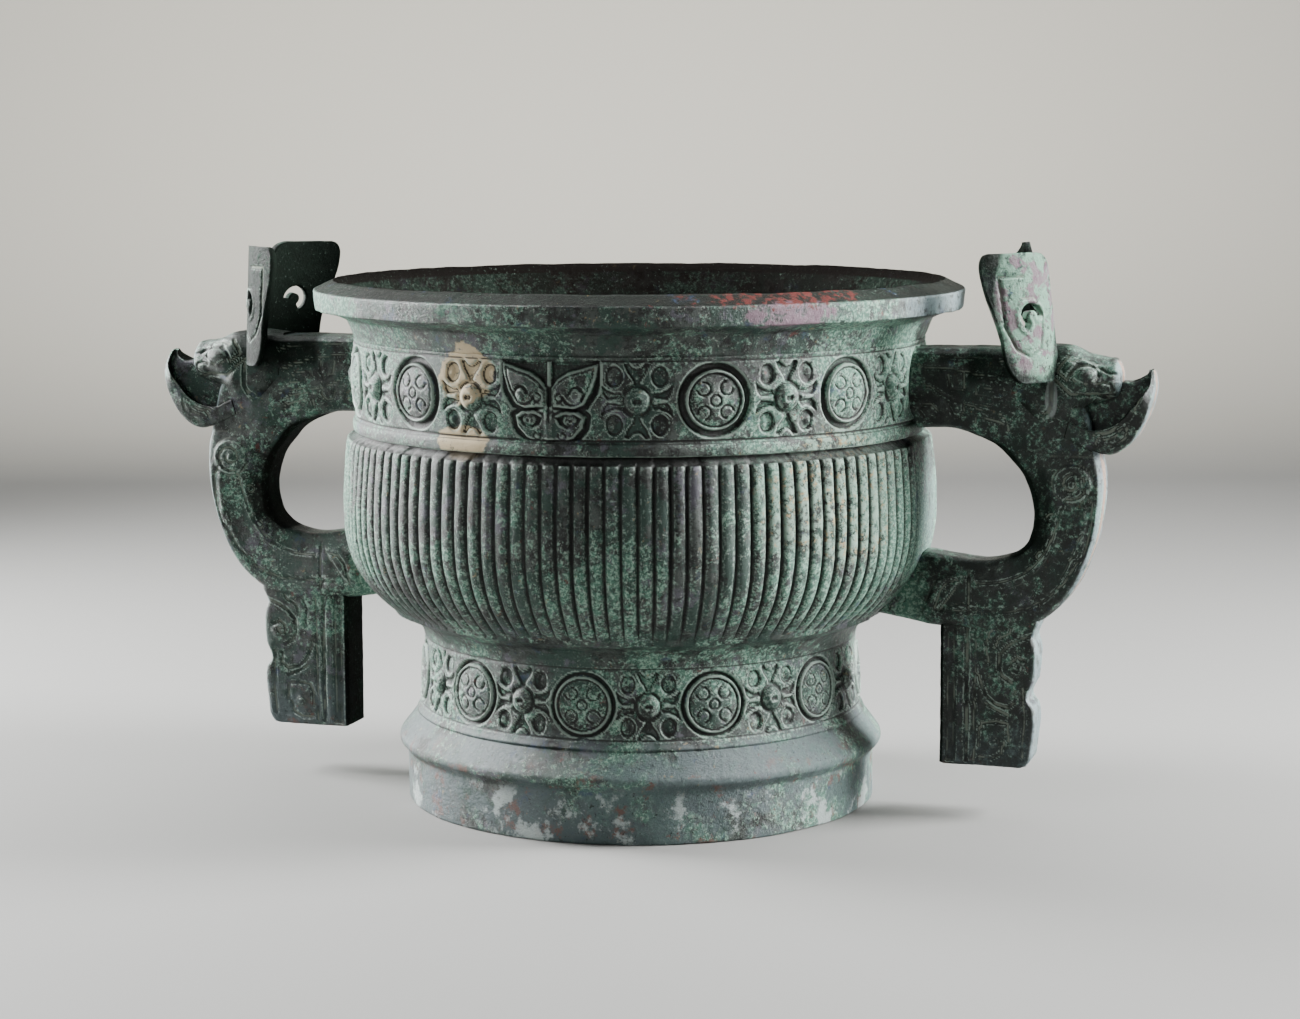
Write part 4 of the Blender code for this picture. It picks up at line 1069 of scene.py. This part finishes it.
def set_camera():
    """The camera at the photograph's place and angle."""
    lens = bpy.data.cameras.new("camera")
    lens.lens = CAMERA_LENS
    lens.sensor_width = CAMERA_FRAME
    camera = bpy.data.objects.new("camera", lens)
    camera.location = CAMERA_PLACE
    level = Vector(CAMERA_LOOKS_ALONG).to_track_quat("-Z", "Y")
    camera.rotation_mode = "QUATERNION"
    camera.rotation_quaternion = level @ Quaternion((0.0, 0.0, 1.0), CAMERA_ROLL)
    bpy.context.scene.collection.objects.link(camera)
    bpy.context.scene.camera = camera


def soft_light(name, place, aim, width, height, watts, spread=180.0, colour=(1.0, 1.0, 1.0)):
    """A rectangular studio light that looks from its place to a point."""
    data = bpy.data.lights.new(name, "AREA")
    data.shape = "RECTANGLE"
    data.size = width
    data.size_y = height
    data.energy = watts
    data.color = colour
    data.spread = math.radians(spread)
    light = bpy.data.objects.new(name, data)
    light.location = place
    light.rotation_euler = (Vector(aim) - Vector(place)).to_track_quat("-Z", "Y").to_euler()
    light.visible_camera = False
    bpy.context.scene.collection.objects.link(light)


def studio():
    """A pale floor that curves up into a round wall, a grey room and soft side lights."""
    paint = bpy.data.materials.new("studio floor")
    paint.use_nodes = True
    shader = paint.node_tree.nodes["Principled BSDF"]
    shader.inputs["Base Color"].default_value = (0.235, 0.236, 0.228, 1.0)
    shader.inputs["Roughness"].default_value = 0.7
    bm = bmesh.new()
    flat, sweep, steps = 1.3, 2.2, 24
    profile = [(0.0, 0.0), (flat, 0.0)]
    for step in range(1, steps + 1):
        angle = 0.25 * TURN * step / steps
        profile.append((flat + sweep * math.sin(angle), sweep - sweep * math.cos(angle)))
    profile.append((flat + sweep, 3.4))
    corners = [bm.verts.new((radius, 0.0, height)) for radius, height in profile]
    for first, second in zip(corners, corners[1:]):
        bm.edges.new((first, second))
    bmesh.ops.spin(bm, geom=bm.verts[:] + bm.edges[:], cent=(0.0, 0.0, 0.0), axis=(0.0, 0.0, 1.0),
                   angle=TURN, steps=96, use_merge=True, use_duplicate=False)
    placed("floor", bm, paint)
    world = bpy.data.worlds.new("studio")
    world.use_nodes = True
    background = world.node_tree.nodes["Background"]
    background.inputs["Color"].default_value = (0.62, 0.6, 0.56, 1.0)
    background.inputs["Strength"].default_value = 0.08
    bpy.context.scene.world = world
    soft_light("left light", (-0.95, 0.08, 0.5), VESSEL_MIDDLE, 0.4, 0.9, 33.0, spread=130.0)
    soft_light("right light", (1.0, 0.3, 0.55), VESSEL_MIDDLE, 0.4, 0.9, 41.0, spread=130.0)
    soft_light("front light", (-0.7, -1.5, 1.0), VESSEL_MIDDLE, 0.8, 0.8, 12.0)
    soft_light("top light", (0.0, 0.3, 1.7), (0, 0, 0.1), 1.2, 0.8, 4.0)
    soft_light("far floor light", (0.0, 1.5, 1.6), (0.0, 2.0, 0.0), 2.4, 0.6, 20.0)
    soft_light("wall light", (-0.4, 1.3, 1.3), (-1.0, 3.2, 0.8), 0.8, 0.4, 106.0, colour=(1.0, 0.95, 0.84))


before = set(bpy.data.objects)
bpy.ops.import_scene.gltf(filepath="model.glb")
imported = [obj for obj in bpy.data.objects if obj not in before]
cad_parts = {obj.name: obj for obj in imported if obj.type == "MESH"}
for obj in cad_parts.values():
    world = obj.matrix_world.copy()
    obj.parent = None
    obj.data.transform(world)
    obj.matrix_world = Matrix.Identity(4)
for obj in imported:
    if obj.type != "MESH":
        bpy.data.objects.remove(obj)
CAD_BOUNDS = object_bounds()
METAL = bronze()
rim_and_inside()
neck_band()
ribbed_belly()
foot_band()
foot_ring()
handle("right", turned=False, front_lean=0.13, back_yaw=64.0, back_lean=0.27, back_slope=12.0)
handle("left", turned=True, front_lean=0.04, back_yaw=STRAIGHT_EAR, back_lean=0.13, back_slope=0.0)
studio()
set_camera()
